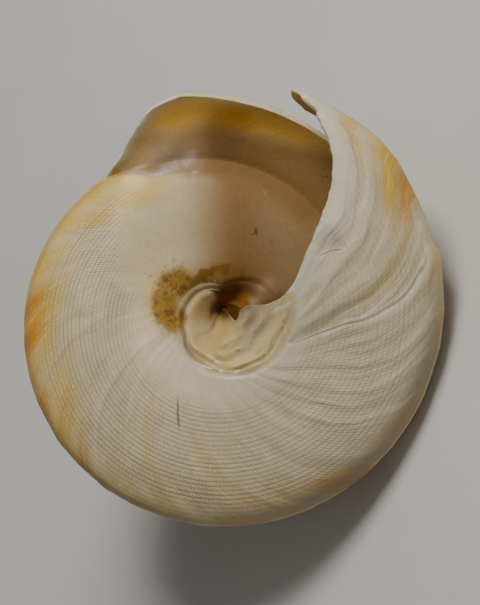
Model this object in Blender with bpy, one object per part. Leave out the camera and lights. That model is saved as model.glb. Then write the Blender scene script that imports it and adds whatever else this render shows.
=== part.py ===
"""A slit shell: one grown piece, lying on the side of its spire with its base facing forward and up.

The shell is built the way it grows. A growth line, which is the shape of the lip, is carried round the
coiling axis, and every step turns it and enlarges it by the same share. Until it is laid down at the end,
the shell stands in its growth frame, in metres: the tip of the spire is at the origin, the coiling axis
is Z, the base faces +Z, and the angle phi runs anticlockwise seen from the base. The last complete turn
ends at phi = 0, and the lip lies a little after it. Lengths marked as shares are shares of the rim's
radius at their own angle, so they grow with the shell. Angles are in degrees.
"""

import math

import bmesh
import bpy
from mathutils import Matrix, Vector

MM = 0.001

# The growth spiral.
RIM_RADIUS = 61.2 * MM
GROWTH_PER_TURN = 1.509
TURNS = 6.5
STEPS_PER_TURN = 36
STEP = 360.0 / STEPS_PER_TURN
LAST_ROW = int(TURNS * STEPS_PER_TURN)
GROWTH_PER_DEGREE = math.log(GROWTH_PER_TURN) / 360.0

# Thicknesses of the wall, and how far the hollow of the whorl is followed inwards.
WALL = 0.026
LIP_EDGE = 0.015
CORNER_NACRE = 0.045
GLAZE = 0.4 * MM
LUMEN_STEPS = 56

# The outline of a whorl from its seam over the flank to just under the rim: place along the outline,
# then distance from the axis and from the tip's level, as shares. The next whorl's seam sits under the rim.
RIM_FOOT = (0.990, 1.205)
FLANK = [
    (0.00, RIM_FOOT[0] / GROWTH_PER_TURN, RIM_FOOT[1] / GROWTH_PER_TURN),
    (0.12, 0.702, 0.826),
    (0.26, 0.760, 0.867),
    (0.42, 0.824, 0.920),
    (0.56, 0.873, 0.966),
    (0.70, 0.942, 1.042),
    (0.83, 0.978, 1.094),
    (0.92, 0.997, 1.147),
    (1.00, RIM_FOOT[0], RIM_FOOT[1]),
]
SLIT_TOP = 0.56
SLIT_FOOT = 0.70

# The base from the rim's foot to the umbilical shoulder: level against distance from the axis, as shares.
BASE = [
    (0.15, 1.340), (0.20, 1.347), (0.30, 1.357), (0.40, 1.359), (0.50, 1.357), (0.62, 1.350),
    (0.74, 1.333), (0.84, 1.306), (0.91, 1.275), (0.960, 1.242), (0.990, 1.205),
]
# The umbilical shoulder's distance from the axis at each angle, as a share: it flares towards the lip.
SHOULDER = [
    (-330, 0.200), (-260, 0.208), (-202, 0.194), (-150, 0.195), (-128, 0.225), (-90, 0.268),
    (-57, 0.3125), (-28, 0.355), (0, 0.372), (24, 0.371),
]
# Rows across the umbilicus, from the shoulder inwards: share of the shoulder's distance, and depth below
# the base as a share. The first set is the plain wall deep in the umbilicus, the second the later wall
# with its groove and ridge, and the third the callus behind the lip.
HIDDEN_WALL = [
    (0.00, 1.00, 0.000), (0.12, 0.92, 0.020), (0.28, 0.82, 0.080), (0.42, 0.72, 0.150),
    (0.60, 0.55, 0.230), (0.80, 0.36, 0.300), (1.00, 0.20, 0.350),
]
OLD_WALL = [
    (0.00, 1.00, 0.000), (0.12, 0.90, 0.012), (0.28, 0.81, 0.050), (0.42, 0.72, 0.035),
    (0.60, 0.52, 0.085), (0.80, 0.33, 0.165), (1.00, 0.20, 0.270),
]
CALLUS = [
    (0.00, 1.00, 0.000), (0.12, 0.90, 0.010), (0.28, 0.78, 0.026), (0.42, 0.62, 0.040),
    (0.60, 0.45, 0.055), (0.80, 0.27, 0.085), (1.00, 0.12, 0.180),
]
HIDDEN_UNTIL = -292.0
RIDGE_FROM = -255.0
CALLUS_STARTS = -125.0
CALLUS_IS_FULL = -70.0
PIT = Vector((0.8 * MM, 1.2 * MM, 43.0 * MM))

# The shape of the lip: angle of the edge at each place of the flank, the base and the umbilicus.
LIP_ON_FLANK = [
    (0.00, 127.4), (0.12, 120.0), (0.26, 113.6), (0.42, 107.4), (0.56, 98.0),
    (0.70, 67.0), (0.83, 68.6), (0.92, 68.6), (1.00, 67.4),
]
LIP_ON_BASE = [
    (0.000, 67.4), (0.073, 66.0), (0.097, 63.4), (0.163, 60.0), (0.215, 56.6), (0.30, 52.4),
    (0.40, 48.9), (0.507, 45.1), (0.695, 39.9), (0.775, 36.5), (0.872, 31.6), (0.937, 27.0), (1.00, 21.8),
]
LIP_IN_UMBILICUS = [
    (0.00, 21.8), (0.12, 18.5), (0.28, 14.5), (0.42, 12.8), (0.60, 16.5), (0.80, 15.0), (1.00, -10.0),
]
# The same for the growth lines of the earlier shell, which swing back less.
EARLY_ON_BASE = [(0.00, 67.4), (0.195, 56.8), (0.326, 49.8), (0.512, 42.8), (0.962, 25.8), (1.00, 24.4)]
EARLY_IN_UMBILICUS = [(0.00, 24.4), (0.28, 20.0), (0.60, 12.0), (1.00, -5.0)]
EARLY_UNTIL = -130.0
LATE_FROM = -50.0

# Steps of growth between the two ends of a seam, between the two sides of the slit, and along the slit.
SEAM_SHIFT = 6
SLIT_SHIFT = 3
SLIT_STEPS = 6
OLD_ROW = LAST_ROW - STEPS_PER_TURN + SEAM_SHIFT

# How the last growth of the rim draws in towards the tip of the lip.
RIM_DRAWS_IN = 0.034
DRAW_FROM = 44.0
DRAW_TO = 69.0

# The inner side of the columella deep in the whorl: place, distance from the axis and level, as shares.
COLUMELLA = [
    (0.00, 0.330, 1.300), (0.20, 0.262, 1.235), (0.45, 0.214, 1.110), (0.70, 0.205, 0.985),
    (0.90, 0.240, 0.912), (1.00, 0.290, 0.893),
]
COLUMELLA_HALF = 0.45
COLUMELLA_ROUNDING = 0.033
CORNER_SHARE = 0.861
# Degrees behind the lip over which the thin edge becomes the full wall, and the columella's edge its pillar.
EDGE_BLEND = 18.0
COLUMELLA_BLEND = 70.0

# Places of the grid lines.
ABOVE_SLIT = [0.00, 0.12, 0.26, 0.42, SLIT_TOP]
BELOW_SLIT = [SLIT_FOOT, 0.83, 0.92, 1.00]
BASE_PLACES = [1.0, 1.06, 1.13, 1.22, 1.34, 1.48, 1.62, 1.76, 1.88, 2.0]
UMBILICUS_PLACES = [2.12, 2.28, 2.42, 2.60, 2.80, 3.0]
TIP_RISE = 0.8 * MM
WELD = 0.001 * MM

# Faces of the shell's wrapping that differ by less than this angle, in radians, count as one flat side.
FLAT_WITHIN = 0.01

# The colour of the shell.
IVORY = (0.62, 0.56, 0.44, 1.0)


def eased(low, high, value):
    """A smooth step from 0 at low to 1 at high."""
    share = min(1.0, max(0.0, (value - low) / (high - low)))
    return share * share * (3.0 - 2.0 * share)


def mixed(first, second, share):
    """Numbers between two equally long rows of numbers."""
    return [a + (b - a) * share for a, b in zip(first, second)]


def through(keys, place):
    """The smooth curve through keys of (place, value, ...), without overshoot."""
    if place <= keys[0][0]:
        return list(keys[0][1:])
    if place >= keys[-1][0]:
        return list(keys[-1][1:])
    low = max(i for i, key in enumerate(keys) if key[0] <= place)
    start, end = keys[low], keys[low + 1]
    span = end[0] - start[0]
    share = (place - start[0]) / span
    values = []
    for i in range(1, len(start)):
        slope = (end[i] - start[i]) / span
        before = after = slope
        if low > 0:
            last = (start[i] - keys[low - 1][i]) / (start[0] - keys[low - 1][0])
            before = 2 * last * slope / (last + slope) if last * slope > 0 else 0.0
        if low + 2 < len(keys):
            coming = (keys[low + 2][i] - end[i]) / (keys[low + 2][0] - end[0])
            after = 2 * coming * slope / (coming + slope) if coming * slope > 0 else 0.0
        back = 1.0 - share
        values.append(
            start[i] * back * back * (1 + 2 * share)
            + end[i] * share * share * (3 - 2 * share)
            + span * share * back * (before * back - after * share)
        )
    return values


def rim_radius(phi):
    """Distance of the rim from the coiling axis."""
    return RIM_RADIUS * math.exp(GROWTH_PER_DEGREE * phi)


def umbilicus(place, phi):
    """Share of the shoulder's distance, and depth below the base, across the umbilicus at phi."""
    ridged = eased(HIDDEN_UNTIL, RIDGE_FROM, phi)
    callus = eased(CALLUS_STARTS, CALLUS_IS_FULL, phi)
    wall = mixed(through(HIDDEN_WALL, place), through(OLD_WALL, place), ridged)
    return mixed(wall, through(CALLUS, place), callus)


def outline(place, phi):
    """A point of the outer face in the half-plane at phi: distance from the axis and level, in metres.

    The place runs from 0 at the seam over 1 under the rim and 2 at the umbilical shoulder to 3 by the axis.
    """
    rim = rim_radius(phi)
    if place <= 1.0:
        share, level = through(FLANK, place)
    else:
        shoulder = through(SHOULDER, phi)[0]
        share = RIM_FOOT[0] + (shoulder - RIM_FOOT[0]) * min(1.0, place - 1.0)
        level = through(BASE, share)[0]
    near_rim = eased(0.84, 0.96, share) * eased(0.3, 0.9, place)
    if place > 2.0:
        inwards, depth = umbilicus(place - 2.0, phi)
        share *= inwards
        level -= depth
    drawn = 1.0 - RIM_DRAWS_IN * near_rim * eased(DRAW_FROM, DRAW_TO, phi)
    return rim * share * drawn, rim * level


def inside(place, phi, depth):
    """The point this share of the rim's radius inside the outer face, square to it."""
    distance, level = outline(place, phi)
    behind = outline(max(0.0, place - 0.02), phi)
    ahead = outline(min(3.0, place + 0.02), phi)
    along = Vector((ahead[0] - behind[0], ahead[1] - behind[1])).normalized()
    reach = depth * rim_radius(phi)
    return distance - along.y * reach, level + along.x * reach


def lip_angle(place):
    """Angle of the edge of the lip at this place."""
    if place <= 1.0:
        return through(LIP_ON_FLANK, place)[0]
    if place <= 2.0:
        return through(LIP_ON_BASE, place - 1.0)[0]
    return through(LIP_IN_UMBILICUS, place - 2.0)[0]


def early_angle(place):
    """Angle of an early growth line at this place, carried on to the lip."""
    if place <= 1.0:
        return through(LIP_ON_FLANK, place)[0]
    if place <= 2.0:
        return through(EARLY_ON_BASE, place - 1.0)[0]
    return through(EARLY_IN_UMBILICUS, place - 2.0)[0]


def growth_angle(place, growth):
    """Angle at this place of the growth line that lies this many degrees of growth from the lip."""
    late = eased(EARLY_UNTIL, LATE_FROM, growth)
    return growth + early_angle(place) + (lip_angle(place) - early_angle(place)) * late


def point(distance, phi, level):
    """A point in the growth frame."""
    turn = math.radians(phi)
    return Vector((distance * math.cos(turn), distance * math.sin(turn), level))


def growth_of(row):
    """Degrees of growth of a row of the grid, from the lip."""
    return (row - LAST_ROW) * STEP


def outer_point(place, row):
    """A point of the outer face on the growth line of a row."""
    phi = growth_angle(place, growth_of(row))
    distance, level = outline(place, phi)
    return point(distance, phi, level)


def columella_point(share_of_way, back, near, near_angle):
    """A point of the columella's inner side, which starts at the lip's own edge and settles behind it."""
    settled = eased(0.0, COLUMELLA_BLEND, back)
    top_angle, foot_angle = lip_angle(2.0), growth_angle(2.0, growth_of(OLD_ROW)) + 360.0
    phi = top_angle + (foot_angle - top_angle) * share_of_way - back
    share, level = through(COLUMELLA, share_of_way)
    far = (rim_radius(phi) * share, rim_radius(phi) * level)
    distance, level = mixed(near, far, settled)
    return point(distance, near_angle + (phi - near_angle) * settled, level)


def hollow_under_flank(place, ring):
    """A point of the hollow's wall inside the flank, this many rings behind the lip."""
    back = ring * STEP
    phi = lip_angle(place) - back
    edge = inside(place, phi, LIP_EDGE * eased(0.0, 0.1, place))
    nacre = CORNER_NACRE * (1.0 - eased(0.0, 0.42, place))
    deep = inside(place, phi, WALL + nacre)
    distance, level = mixed(edge, deep, eased(0.0, EDGE_BLEND, back))
    return point(distance, phi, level)


def hollow_under_base(place, ring):
    """A point of the hollow's wall inside the base or the umbilicus, this many rings behind the lip."""
    back = ring * STEP
    phi = lip_angle(place) - back
    near = mixed(inside(place, phi, LIP_EDGE), inside(place, phi, WALL), eased(0.0, EDGE_BLEND, back))
    if place > 2.0:
        return columella_point(COLUMELLA_HALF * (place - 2.0), back, near, phi)
    share = RIM_FOOT[0] + (COLUMELLA[0][1] - RIM_FOOT[0]) * (place - 1.0)
    level = through(BASE, share)[0] - WALL - COLUMELLA_ROUNDING * eased(1.6, 2.0, place)
    far = (rim_radius(phi) * share, rim_radius(phi) * level)
    far = mixed(inside(place, phi, WALL), far, eased(1.0, 1.15, place))
    distance, level = mixed(near, far, eased(0.0, COLUMELLA_BLEND, back))
    return point(distance, phi, level)


def hollow_at_core(ring):
    """The point of the hollow's wall that starts at the bottom of the pit."""
    back = ring * STEP
    start = math.hypot(PIT.x, PIT.y), PIT.z
    pit_angle = math.degrees(math.atan2(PIT.y, PIT.x)) - back
    return columella_point(0.5, back, start, pit_angle)


def hollow_on_old_whorl(place, ring):
    """A point of the hollow's wall on the earlier whorl, glazed with nacre, from the umbilicus to the seam."""
    back = ring * STEP
    phi = growth_angle(place, growth_of(OLD_ROW)) - back
    distance, level = outline(place, phi)
    level += GLAZE * eased(0.0, EDGE_BLEND, back)
    if place > 2.0:
        return columella_point(1.0 - COLUMELLA_HALF * (place - 2.0), back, (distance, level), phi + 360.0)
    old_rim = rim_radius(phi)
    share = RIM_FOOT[0] + (COLUMELLA[-1][1] * GROWTH_PER_TURN - RIM_FOOT[0]) * (place - 1.0)
    deep = (old_rim * share, old_rim * through(BASE, share)[0] + GLAZE)
    distance, level = mixed((distance, level), deep, eased(0.0, COLUMELLA_BLEND, back))
    if share > CORNER_SHARE:
        corner = inside(0.0, phi + 360.0, WALL + CORNER_NACRE)
        foot = (old_rim * CORNER_SHARE, old_rim * through(BASE, CORNER_SHARE)[0] + GLAZE)
        way = (share - CORNER_SHARE) / (RIM_FOOT[0] - CORNER_SHARE)
        filled = mixed(foot, corner, way)
        distance, level = mixed((distance, level), filled, eased(0.0, EDGE_BLEND, back))
    return point(distance, phi, level)


def add_grid(mesh, rows):
    """Adds a grid of four-sided faces through rows of points."""
    lines = [[mesh.verts.new(spot) for spot in row] for row in rows]
    for first, second in zip(lines, lines[1:]):
        for i in range(len(first) - 1):
            mesh.faces.new((first[i], first[i + 1], second[i + 1], second[i]))


def add_fan(mesh, loop, centre):
    """Closes a loop of points with triangles to a centre."""
    middle = mesh.verts.new(centre)
    ring = [mesh.verts.new(spot) for spot in loop]
    for first, second in zip(ring, ring[1:]):
        mesh.faces.new((first, second, middle))


def flank_above(row):
    """Points of a row from the seam to the top of the slit."""
    return [outer_point(place, row) for place in ABOVE_SLIT]


def flank_below(row):
    """Points of a row from the foot of the slit to under the rim."""
    return [outer_point(place, row) for place in BELOW_SLIT]


def base_and_umbilicus(row):
    """Points of a row from under the rim to the innermost line of the umbilicus."""
    return [outer_point(place, row) for place in BASE_PLACES + UMBILICUS_PLACES]


def hollow_above(ring):
    """Points of a ring of the hollow from the seam to the top of the slit."""
    return [hollow_under_flank(place, ring) for place in ABOVE_SLIT]


def hollow_below(ring):
    """Points of a ring of the hollow from the foot of the slit over base, columella and earlier whorl."""
    under_rim = [hollow_under_flank(place, ring) for place in BELOW_SLIT[:-1]]
    under_base = [hollow_under_base(place, ring) for place in BASE_PLACES + UMBILICUS_PLACES]
    old = [hollow_on_old_whorl(place, ring) for place in reversed(BASE_PLACES[1:] + UMBILICUS_PLACES)]
    return under_rim + under_base + [hollow_at_core(ring)] + old


def add_outer_faces(mesh):
    """The flank of every whorl, and the base and umbilicus of the last one."""
    add_grid(mesh, [flank_above(row) for row in range(LAST_ROW + 1)])
    add_grid(mesh, [flank_below(row) for row in range(SLIT_SHIFT, LAST_ROW + 1)])
    band = range(LAST_ROW - SLIT_STEPS + 1)
    add_grid(mesh, [[flank_above(row)[-1], flank_below(row + SLIT_SHIFT)[0]] for row in band])
    base_rows = [base_and_umbilicus(row) for row in range(OLD_ROW, LAST_ROW + 1)]
    add_grid(mesh, base_rows)
    add_fan(mesh, [row[-1] for row in base_rows], PIT)


def add_tip(mesh):
    """Closes the first growth lines with a low dome, the tip of the spire."""
    free_seam = STEPS_PER_TURN - SEAM_SHIFT + SLIT_SHIFT
    seam = [outer_point(0.0, row) for row in range(free_seam + 1)]
    start = list(reversed(flank_above(0)))
    rim = list(reversed(flank_below(SLIT_SHIFT)))
    loop = seam + rim[1:] + start
    middle = sum(loop, Vector()) / len(loop)
    add_fan(mesh, loop, middle - Vector((0, 0, TIP_RISE)))


def add_hollow(mesh):
    """The hollow of the whorl, from the lip to a rounded end deep inside."""
    last_below = LUMEN_STEPS - SLIT_SHIFT
    above = [hollow_above(ring) for ring in range(LUMEN_STEPS + 1)]
    below = [hollow_below(ring) + [above[ring][0]] for ring in range(last_below + 1)]
    add_grid(mesh, above)
    add_grid(mesh, below)
    band = range(SLIT_STEPS, LUMEN_STEPS + 1)
    add_grid(mesh, [[above[ring][-1], below[ring - SLIT_SHIFT][0]] for ring in band])
    seam = [above[ring][0] for ring in range(last_below + 1, LUMEN_STEPS + 1)]
    loop = above[-1] + below[-1] + seam
    middle = sum(loop, Vector()) / len(loop)
    add_fan(mesh, loop, middle)


def add_lip(mesh):
    """The edge of the lip above and below the slit, down to the bottom of the pit."""
    add_grid(mesh, [flank_above(LAST_ROW), hollow_above(0)])
    outer = flank_below(LAST_ROW)[:-1] + base_and_umbilicus(LAST_ROW) + [PIT]
    add_grid(mesh, [outer, hollow_below(0)[:len(outer)]])


def add_slit_walls(mesh):
    """The two sides and the closed end of the slit."""
    top = [[flank_above(LAST_ROW - i)[-1], hollow_above(i)[-1]] for i in range(SLIT_STEPS + 1)]
    foot_steps = SLIT_STEPS - SLIT_SHIFT
    foot = [[flank_below(LAST_ROW - i)[0], hollow_below(i)[0]] for i in range(foot_steps + 1)]
    add_grid(mesh, top)
    add_grid(mesh, foot)
    add_grid(mesh, [top[-1], foot[-1]])


def grown_shell():
    """The closed shell in its growth frame, as a bmesh of triangles."""
    mesh = bmesh.new()
    add_outer_faces(mesh)
    add_tip(mesh)
    add_hollow(mesh)
    add_lip(mesh)
    add_slit_walls(mesh)
    bmesh.ops.remove_doubles(mesh, verts=mesh.verts, dist=WELD)
    bmesh.ops.triangulate(mesh, faces=mesh.faces)
    bmesh.ops.recalc_face_normals(mesh, faces=mesh.faces)
    return mesh


def centre_of_mass(mesh):
    """The centre of the solid inside a closed mesh of triangles."""
    weighted, volume = Vector(), 0.0
    for face in mesh.faces:
        a, b, c = (vert.co for vert in face.verts)
        part = a.dot(b.cross(c))
        weighted += part * (a + b + c) / 4.0
        volume += part
    return weighted / volume


def resting_normal(mesh):
    """The outward normal of the flat side of the shell's wrapping on which it comes to rest on its spire."""
    centre = centre_of_mass(mesh)
    wrapping = bmesh.new()
    for vert in mesh.verts:
        wrapping.verts.new(vert.co)
    hull = bmesh.ops.convex_hull(wrapping, input=wrapping.verts, use_existing_faces=False)
    spare = [item for item in hull["geom_interior"] if isinstance(item, bmesh.types.BMVert)]
    bmesh.ops.delete(wrapping, geom=spare, context="VERTS")
    bmesh.ops.dissolve_limit(
        wrapping, angle_limit=FLAT_WITHIN, verts=wrapping.verts, edges=wrapping.edges
    )
    bmesh.ops.recalc_face_normals(wrapping, faces=wrapping.faces)
    best = None
    for face in wrapping.faces:
        normal = face.normal
        height = (face.verts[0].co - centre).dot(normal)
        foot = centre + normal * height
        margin = min(
            (foot - loop.vert.co).dot(normal.cross(loop.link_loop_next.vert.co - loop.vert.co).normalized())
            for loop in face.loops
        )
        if margin > 0 and normal.z < 0 and (best is None or height < best[0]):
            best = (height, normal.copy())
    wrapping.free()
    return best[1]


def lay_down(mesh):
    """Rests the shell on Z = 0 with its base facing -Y and up, its box centred on the origin."""
    down = resting_normal(mesh)
    axis = Vector((0, 0, 1))
    up = -down
    forward = (axis - axis.dot(up) * up).normalized()
    side = up.cross(forward)
    turn = Matrix((side, -forward, up)).to_4x4()
    bmesh.ops.transform(mesh, matrix=turn, verts=mesh.verts)
    low = Vector(min(vert.co[i] for vert in mesh.verts) for i in range(3))
    high = Vector(max(vert.co[i] for vert in mesh.verts) for i in range(3))
    to_origin = Vector((-(low.x + high.x) / 2, -(low.y + high.y) / 2, -low.z))
    bmesh.ops.translate(mesh, vec=to_origin, verts=mesh.verts)


def shell_material():
    """Chalky ivory shell."""
    material = bpy.data.materials.new("shell")
    material.use_nodes = True
    shader = material.node_tree.nodes["Principled BSDF"]
    shader.inputs["Base Color"].default_value = IVORY
    shader.inputs["Roughness"].default_value = 0.5
    shader.inputs["Metallic"].default_value = 0.0
    return material


def main():
    """Builds the shell in a collection of its own."""
    for old in list(bpy.data.objects):
        bpy.data.objects.remove(old)
    collection = bpy.data.collections.new("slit_shell")
    bpy.context.scene.collection.children.link(collection)
    mesh = grown_shell()
    lay_down(mesh)
    data = bpy.data.meshes.new("shell")
    mesh.to_mesh(data)
    mesh.free()
    data.materials.append(shell_material())
    collection.objects.link(bpy.data.objects.new("shell", data))


main()
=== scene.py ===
"""The dressed slit shell: its fine surface, its colours, and the studio it is seen in.

The shell is one grown piece, so it is one mesh. It is worked out in its growth frame, as the solid is: the
tip of the spire at the origin, the coiling axis along Z, the base facing +Z, and the angle phi running
anticlockwise seen from the base. A growth line has the shape of the lip, and is named by its growth, the
degrees of coiling between it and the lip. The place on a growth line runs from 0 at the seam over 1 under
the rim and 2 at the umbilical shoulder to 3 by the axis. Shares are shares of the rim's radius at the same
angle. At the end the shell is laid down where the solid lies.
"""

import logging
import math
from dataclasses import dataclass, field
from enum import Enum
from functools import reduce
from typing import Callable, Sequence

import bmesh
import bpy
import numpy as np
from mathutils import Matrix, Vector


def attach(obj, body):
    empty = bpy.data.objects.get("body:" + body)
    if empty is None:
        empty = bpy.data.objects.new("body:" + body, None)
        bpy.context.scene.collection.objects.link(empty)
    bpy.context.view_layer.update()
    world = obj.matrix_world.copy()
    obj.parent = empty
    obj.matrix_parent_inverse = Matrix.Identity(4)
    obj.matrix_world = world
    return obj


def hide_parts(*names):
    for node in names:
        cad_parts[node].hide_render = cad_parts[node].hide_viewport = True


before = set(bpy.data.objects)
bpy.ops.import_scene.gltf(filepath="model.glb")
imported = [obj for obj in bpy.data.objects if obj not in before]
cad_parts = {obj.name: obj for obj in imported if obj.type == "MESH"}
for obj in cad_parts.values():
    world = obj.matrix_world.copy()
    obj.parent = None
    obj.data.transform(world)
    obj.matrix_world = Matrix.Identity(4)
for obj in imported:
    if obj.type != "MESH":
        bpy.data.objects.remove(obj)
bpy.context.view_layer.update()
LOG = logging.getLogger("slit_shell")
MM = 0.001
IMAGE_SIZE = (480, 605)

# Places on a growth line, which starts at the seam with 0.
RIM = 1.0
SHOULDER = 2.0
AXIS = 3.0

Array = np.ndarray
Wave = tuple[float, float, float]
Socket = bpy.types.NodeSocket
Sockets = bpy.types.bpy_prop_collection


def eased(low: float, high: float, value: Array) -> Array:
    """A smooth step of numbers: 0 up to low, 1 from high, and a smooth rise between them."""
    share = np.clip((value - low) / (high - low), 0.0, 1.0)
    return share * share * (3.0 - 2.0 * share)


def bump(value: Array, centre: float, width: float) -> Array:
    """A soft hump of height 1 round a centre; the width is where it has fallen to a third."""
    return np.exp(-(((value - centre) / width) ** 2))


def swell(value: Array, waves: Sequence[Wave]) -> Array:
    """A sum of waves, each with its turns per unit, phase and height, for uneven natural change."""
    return sum(height * np.sin(value * rate * math.tau + phase) for rate, phase, height in waves)


class Curve:
    """A smooth curve through keys of (place, value, ...), without overshoot."""

    def __init__(self, keys: Sequence[tuple[float, ...]]) -> None:
        """Fits the curve.

        Args:
            keys: rows of a place and the values there, in rising order of place.
        """
        table = np.array(keys, float)
        self.places = table[:, 0]
        self.values = table[:, 1:]
        self.slopes = np.diff(self.values, axis=0) / np.diff(self.places)[:, None]
        tangents = np.empty_like(self.values)
        tangents[0], tangents[-1] = self.slopes[0], self.slopes[-1]
        before, after = self.slopes[:-1], self.slopes[1:]
        total = np.where(before * after > 0, before + after, 1.0)
        tangents[1:-1] = np.where(before * after > 0, 2 * before * after / total, 0.0)
        self.tangents = tangents

    def at(self, place: Array, column: int = 0) -> Array:
        """The value of one column of the keys at each place.

        Args:
            place: where to look.
            column: which of the values.

        Returns:
            The value at each place.
        """
        low = np.clip(np.searchsorted(self.places, place, side="right") - 1, 0, len(self.places) - 2)
        span = self.places[low + 1] - self.places[low]
        share = np.clip((place - self.places[low]) / span, 0.0, 1.0)
        back = 1.0 - share
        start, end = self.values[low, column], self.values[low + 1, column]
        leaving, coming = self.tangents[low, column], self.tangents[low + 1, column]
        return (
            start * back * back * (1 + 2 * share)
            + end * share * share * (3 - 2 * share)
            + span * share * back * (leaving * back - coming * share)
        )


@dataclass(frozen=True)
class Coil:
    """The spiral that the rim of the shell follows."""

    rim_radius: float = 61.2 * MM
    growth_per_turn: float = 1.509
    turns: float = 6.5

    def rim(self, phi: Array) -> Array:
        """Distance of the rim from the coiling axis at phi."""
        return self.rim_radius * np.exp(math.log(self.growth_per_turn) / 360.0 * phi)


@dataclass(frozen=True)
class WhorlForm:
    """The smooth form of the outer face: the outline of a whorl, and the growth lines on it."""

    coil: Coil = Coil()
    rim_foot: tuple[float, float] = (0.99, 1.205)
    slit_top: float = 0.56
    slit_foot: float = 0.7
    rim_draws_in: float = 0.034
    draw_from: float = 44.0
    draw_to: float = 69.0
    hidden_until: float = -292.0
    ridge_from: float = -255.0
    callus_starts: float = -125.0
    callus_is_full: float = -70.0
    early_until: float = -130.0
    late_from: float = -50.0
    # Level of the base against distance from the axis, as shares.
    base: Curve = Curve([
        (0.15, 1.34), (0.2, 1.347), (0.3, 1.357), (0.4, 1.359), (0.5, 1.357), (0.62, 1.35),
        (0.74, 1.333), (0.84, 1.306), (0.91, 1.275), (0.96, 1.242), (0.99, 1.205),
    ])
    # The umbilical shoulder's distance from the axis at each phi, as a share.
    shoulder: Curve = Curve([
        (-330, 0.2), (-260, 0.208), (-202, 0.194), (-150, 0.195), (-128, 0.225), (-90, 0.268),
        (-57, 0.3125), (-28, 0.355), (0, 0.372), (24, 0.371),
    ])
    # Angle of the lip's edge over the flank, where every growth line has this shape.
    lip_keys: Curve = Curve([
        (0.0, 127.4), (0.12, 120.0), (0.26, 113.6), (0.42, 107.4), (0.56, 98.0),
        (0.7, 67.0), (0.83, 68.6), (0.92, 68.6), (1.0, 67.4),
    ])
    # Angle of the lip's edge over the base.
    lip_on_base: Curve = Curve([
        (1.0, 67.4), (1.073, 66.0), (1.097, 63.4), (1.163, 60.0), (1.215, 56.6), (1.3, 52.4),
        (1.4, 48.9), (1.507, 45.1), (1.695, 39.9), (1.775, 36.5), (1.872, 31.6), (1.937, 27.0),
        (2.0, 21.8),
    ])
    # Angle of the lip's edge from the umbilical shoulder inwards.
    lip_in_umbilicus: Curve = Curve([
        (2.0, 21.8), (2.12, 18.5), (2.28, 14.5), (2.42, 12.8), (2.6, 16.5), (2.8, 15.0),
        (3.0, -10.0),
    ])
    # Angle of an early growth line over the base, carried on to the lip.
    early_on_base: Curve = Curve([
        (1.0, 67.4), (1.195, 56.8), (1.326, 49.8), (1.512, 42.8), (1.962, 25.8), (2.0, 24.4),
    ])
    # Angle of an early growth line in the umbilicus, carried on to the lip.
    early_in_umbilicus: Curve = Curve([(2.0, 24.4), (2.28, 20.0), (2.6, 12.0), (3.0, -5.0)])

    @property
    def flank(self) -> Curve:
        """The flank: place, then distance from the axis and from the tip's level, as shares."""
        seam = [value / self.coil.growth_per_turn for value in self.rim_foot]
        return Curve([
            (0.0, *seam), (0.12, 0.702, 0.826), (0.26, 0.76, 0.867), (0.42, 0.824, 0.92),
            (0.56, 0.873, 0.966), (0.7, 0.942, 1.042), (0.83, 0.978, 1.094), (0.92, 0.997, 1.147),
            (1.0, *self.rim_foot),
        ])

    @property
    def umbilical_walls(self) -> tuple[Curve, Curve, Curve]:
        """Plain wall, grooved wall and callus: place, share of the shoulder's distance, and depth."""
        places = (0.0, 0.12, 0.28, 0.42, 0.6, 0.8, 1.0)
        walls = (
            ((1.0, 0.92, 0.82, 0.72, 0.55, 0.36, 0.2), (0.0, 0.02, 0.08, 0.15, 0.23, 0.3, 0.35)),
            ((1.0, 0.9, 0.81, 0.72, 0.52, 0.33, 0.2), (0.0, 0.012, 0.05, 0.035, 0.085, 0.165, 0.27)),
            ((1.0, 0.9, 0.78, 0.62, 0.45, 0.27, 0.12), (0.0, 0.01, 0.026, 0.04, 0.055, 0.085, 0.18)),
        )
        return tuple(Curve(list(zip(places, *wall))) for wall in walls)

    def lip_angle(self, place: Array) -> Array:
        """Angle of the edge of the lip at each place."""
        return self.joined(place, self.lip_on_base, self.lip_in_umbilicus)

    def early_angle(self, place: Array) -> Array:
        """Angle of an early growth line at each place, carried on to the lip."""
        return self.joined(place, self.early_on_base, self.early_in_umbilicus)

    def joined(self, place: Array, on_base: Curve, in_umbilicus: Curve) -> Array:
        """Angle of a growth line with these curves. Over the flank it is the same at any age."""
        outer = np.where(place <= SHOULDER, on_base.at(place), in_umbilicus.at(place))
        return np.where(place <= RIM, self.lip_keys.at(place), outer)

    def angle(self, place: Array, growth: Array) -> Array:
        """The angle phi at each place of the growth line of each growth."""
        early, late = self.early_angle(place), eased(self.early_until, self.late_from, growth)
        return growth + early + (self.lip_angle(place) - early) * late

    def outline(self, place: Array, phi: Array) -> tuple[Array, Array]:
        """The outer face in the half-plane at phi.

        Args:
            place: places on the outline.
            phi: angles in degrees.

        Returns:
            Distance from the axis and level, in metres.
        """
        place, phi = np.broadcast_arrays(place, phi)
        rim = self.coil.rim(phi)
        shoulder = self.shoulder.at(phi)
        base_share = self.rim_foot[0] + (shoulder - self.rim_foot[0]) * np.clip(place - RIM, 0.0, 1.0)
        on_flank = place <= RIM
        share = np.where(on_flank, self.flank.at(place, 0), base_share)
        level = np.where(on_flank, self.flank.at(place, 1), self.base.at(base_share))
        near_rim = eased(0.84, 0.96, share) * eased(0.3, 0.9, place)
        inwards, depth = self.umbilicus(np.clip(place - SHOULDER, 0.0, 1.0), phi)
        share = np.where(place > SHOULDER, share * inwards, share)
        level = np.where(place > SHOULDER, level - depth, level)
        drawn = 1.0 - self.rim_draws_in * near_rim * eased(self.draw_from, self.draw_to, phi)
        return rim * share * drawn, rim * level

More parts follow.
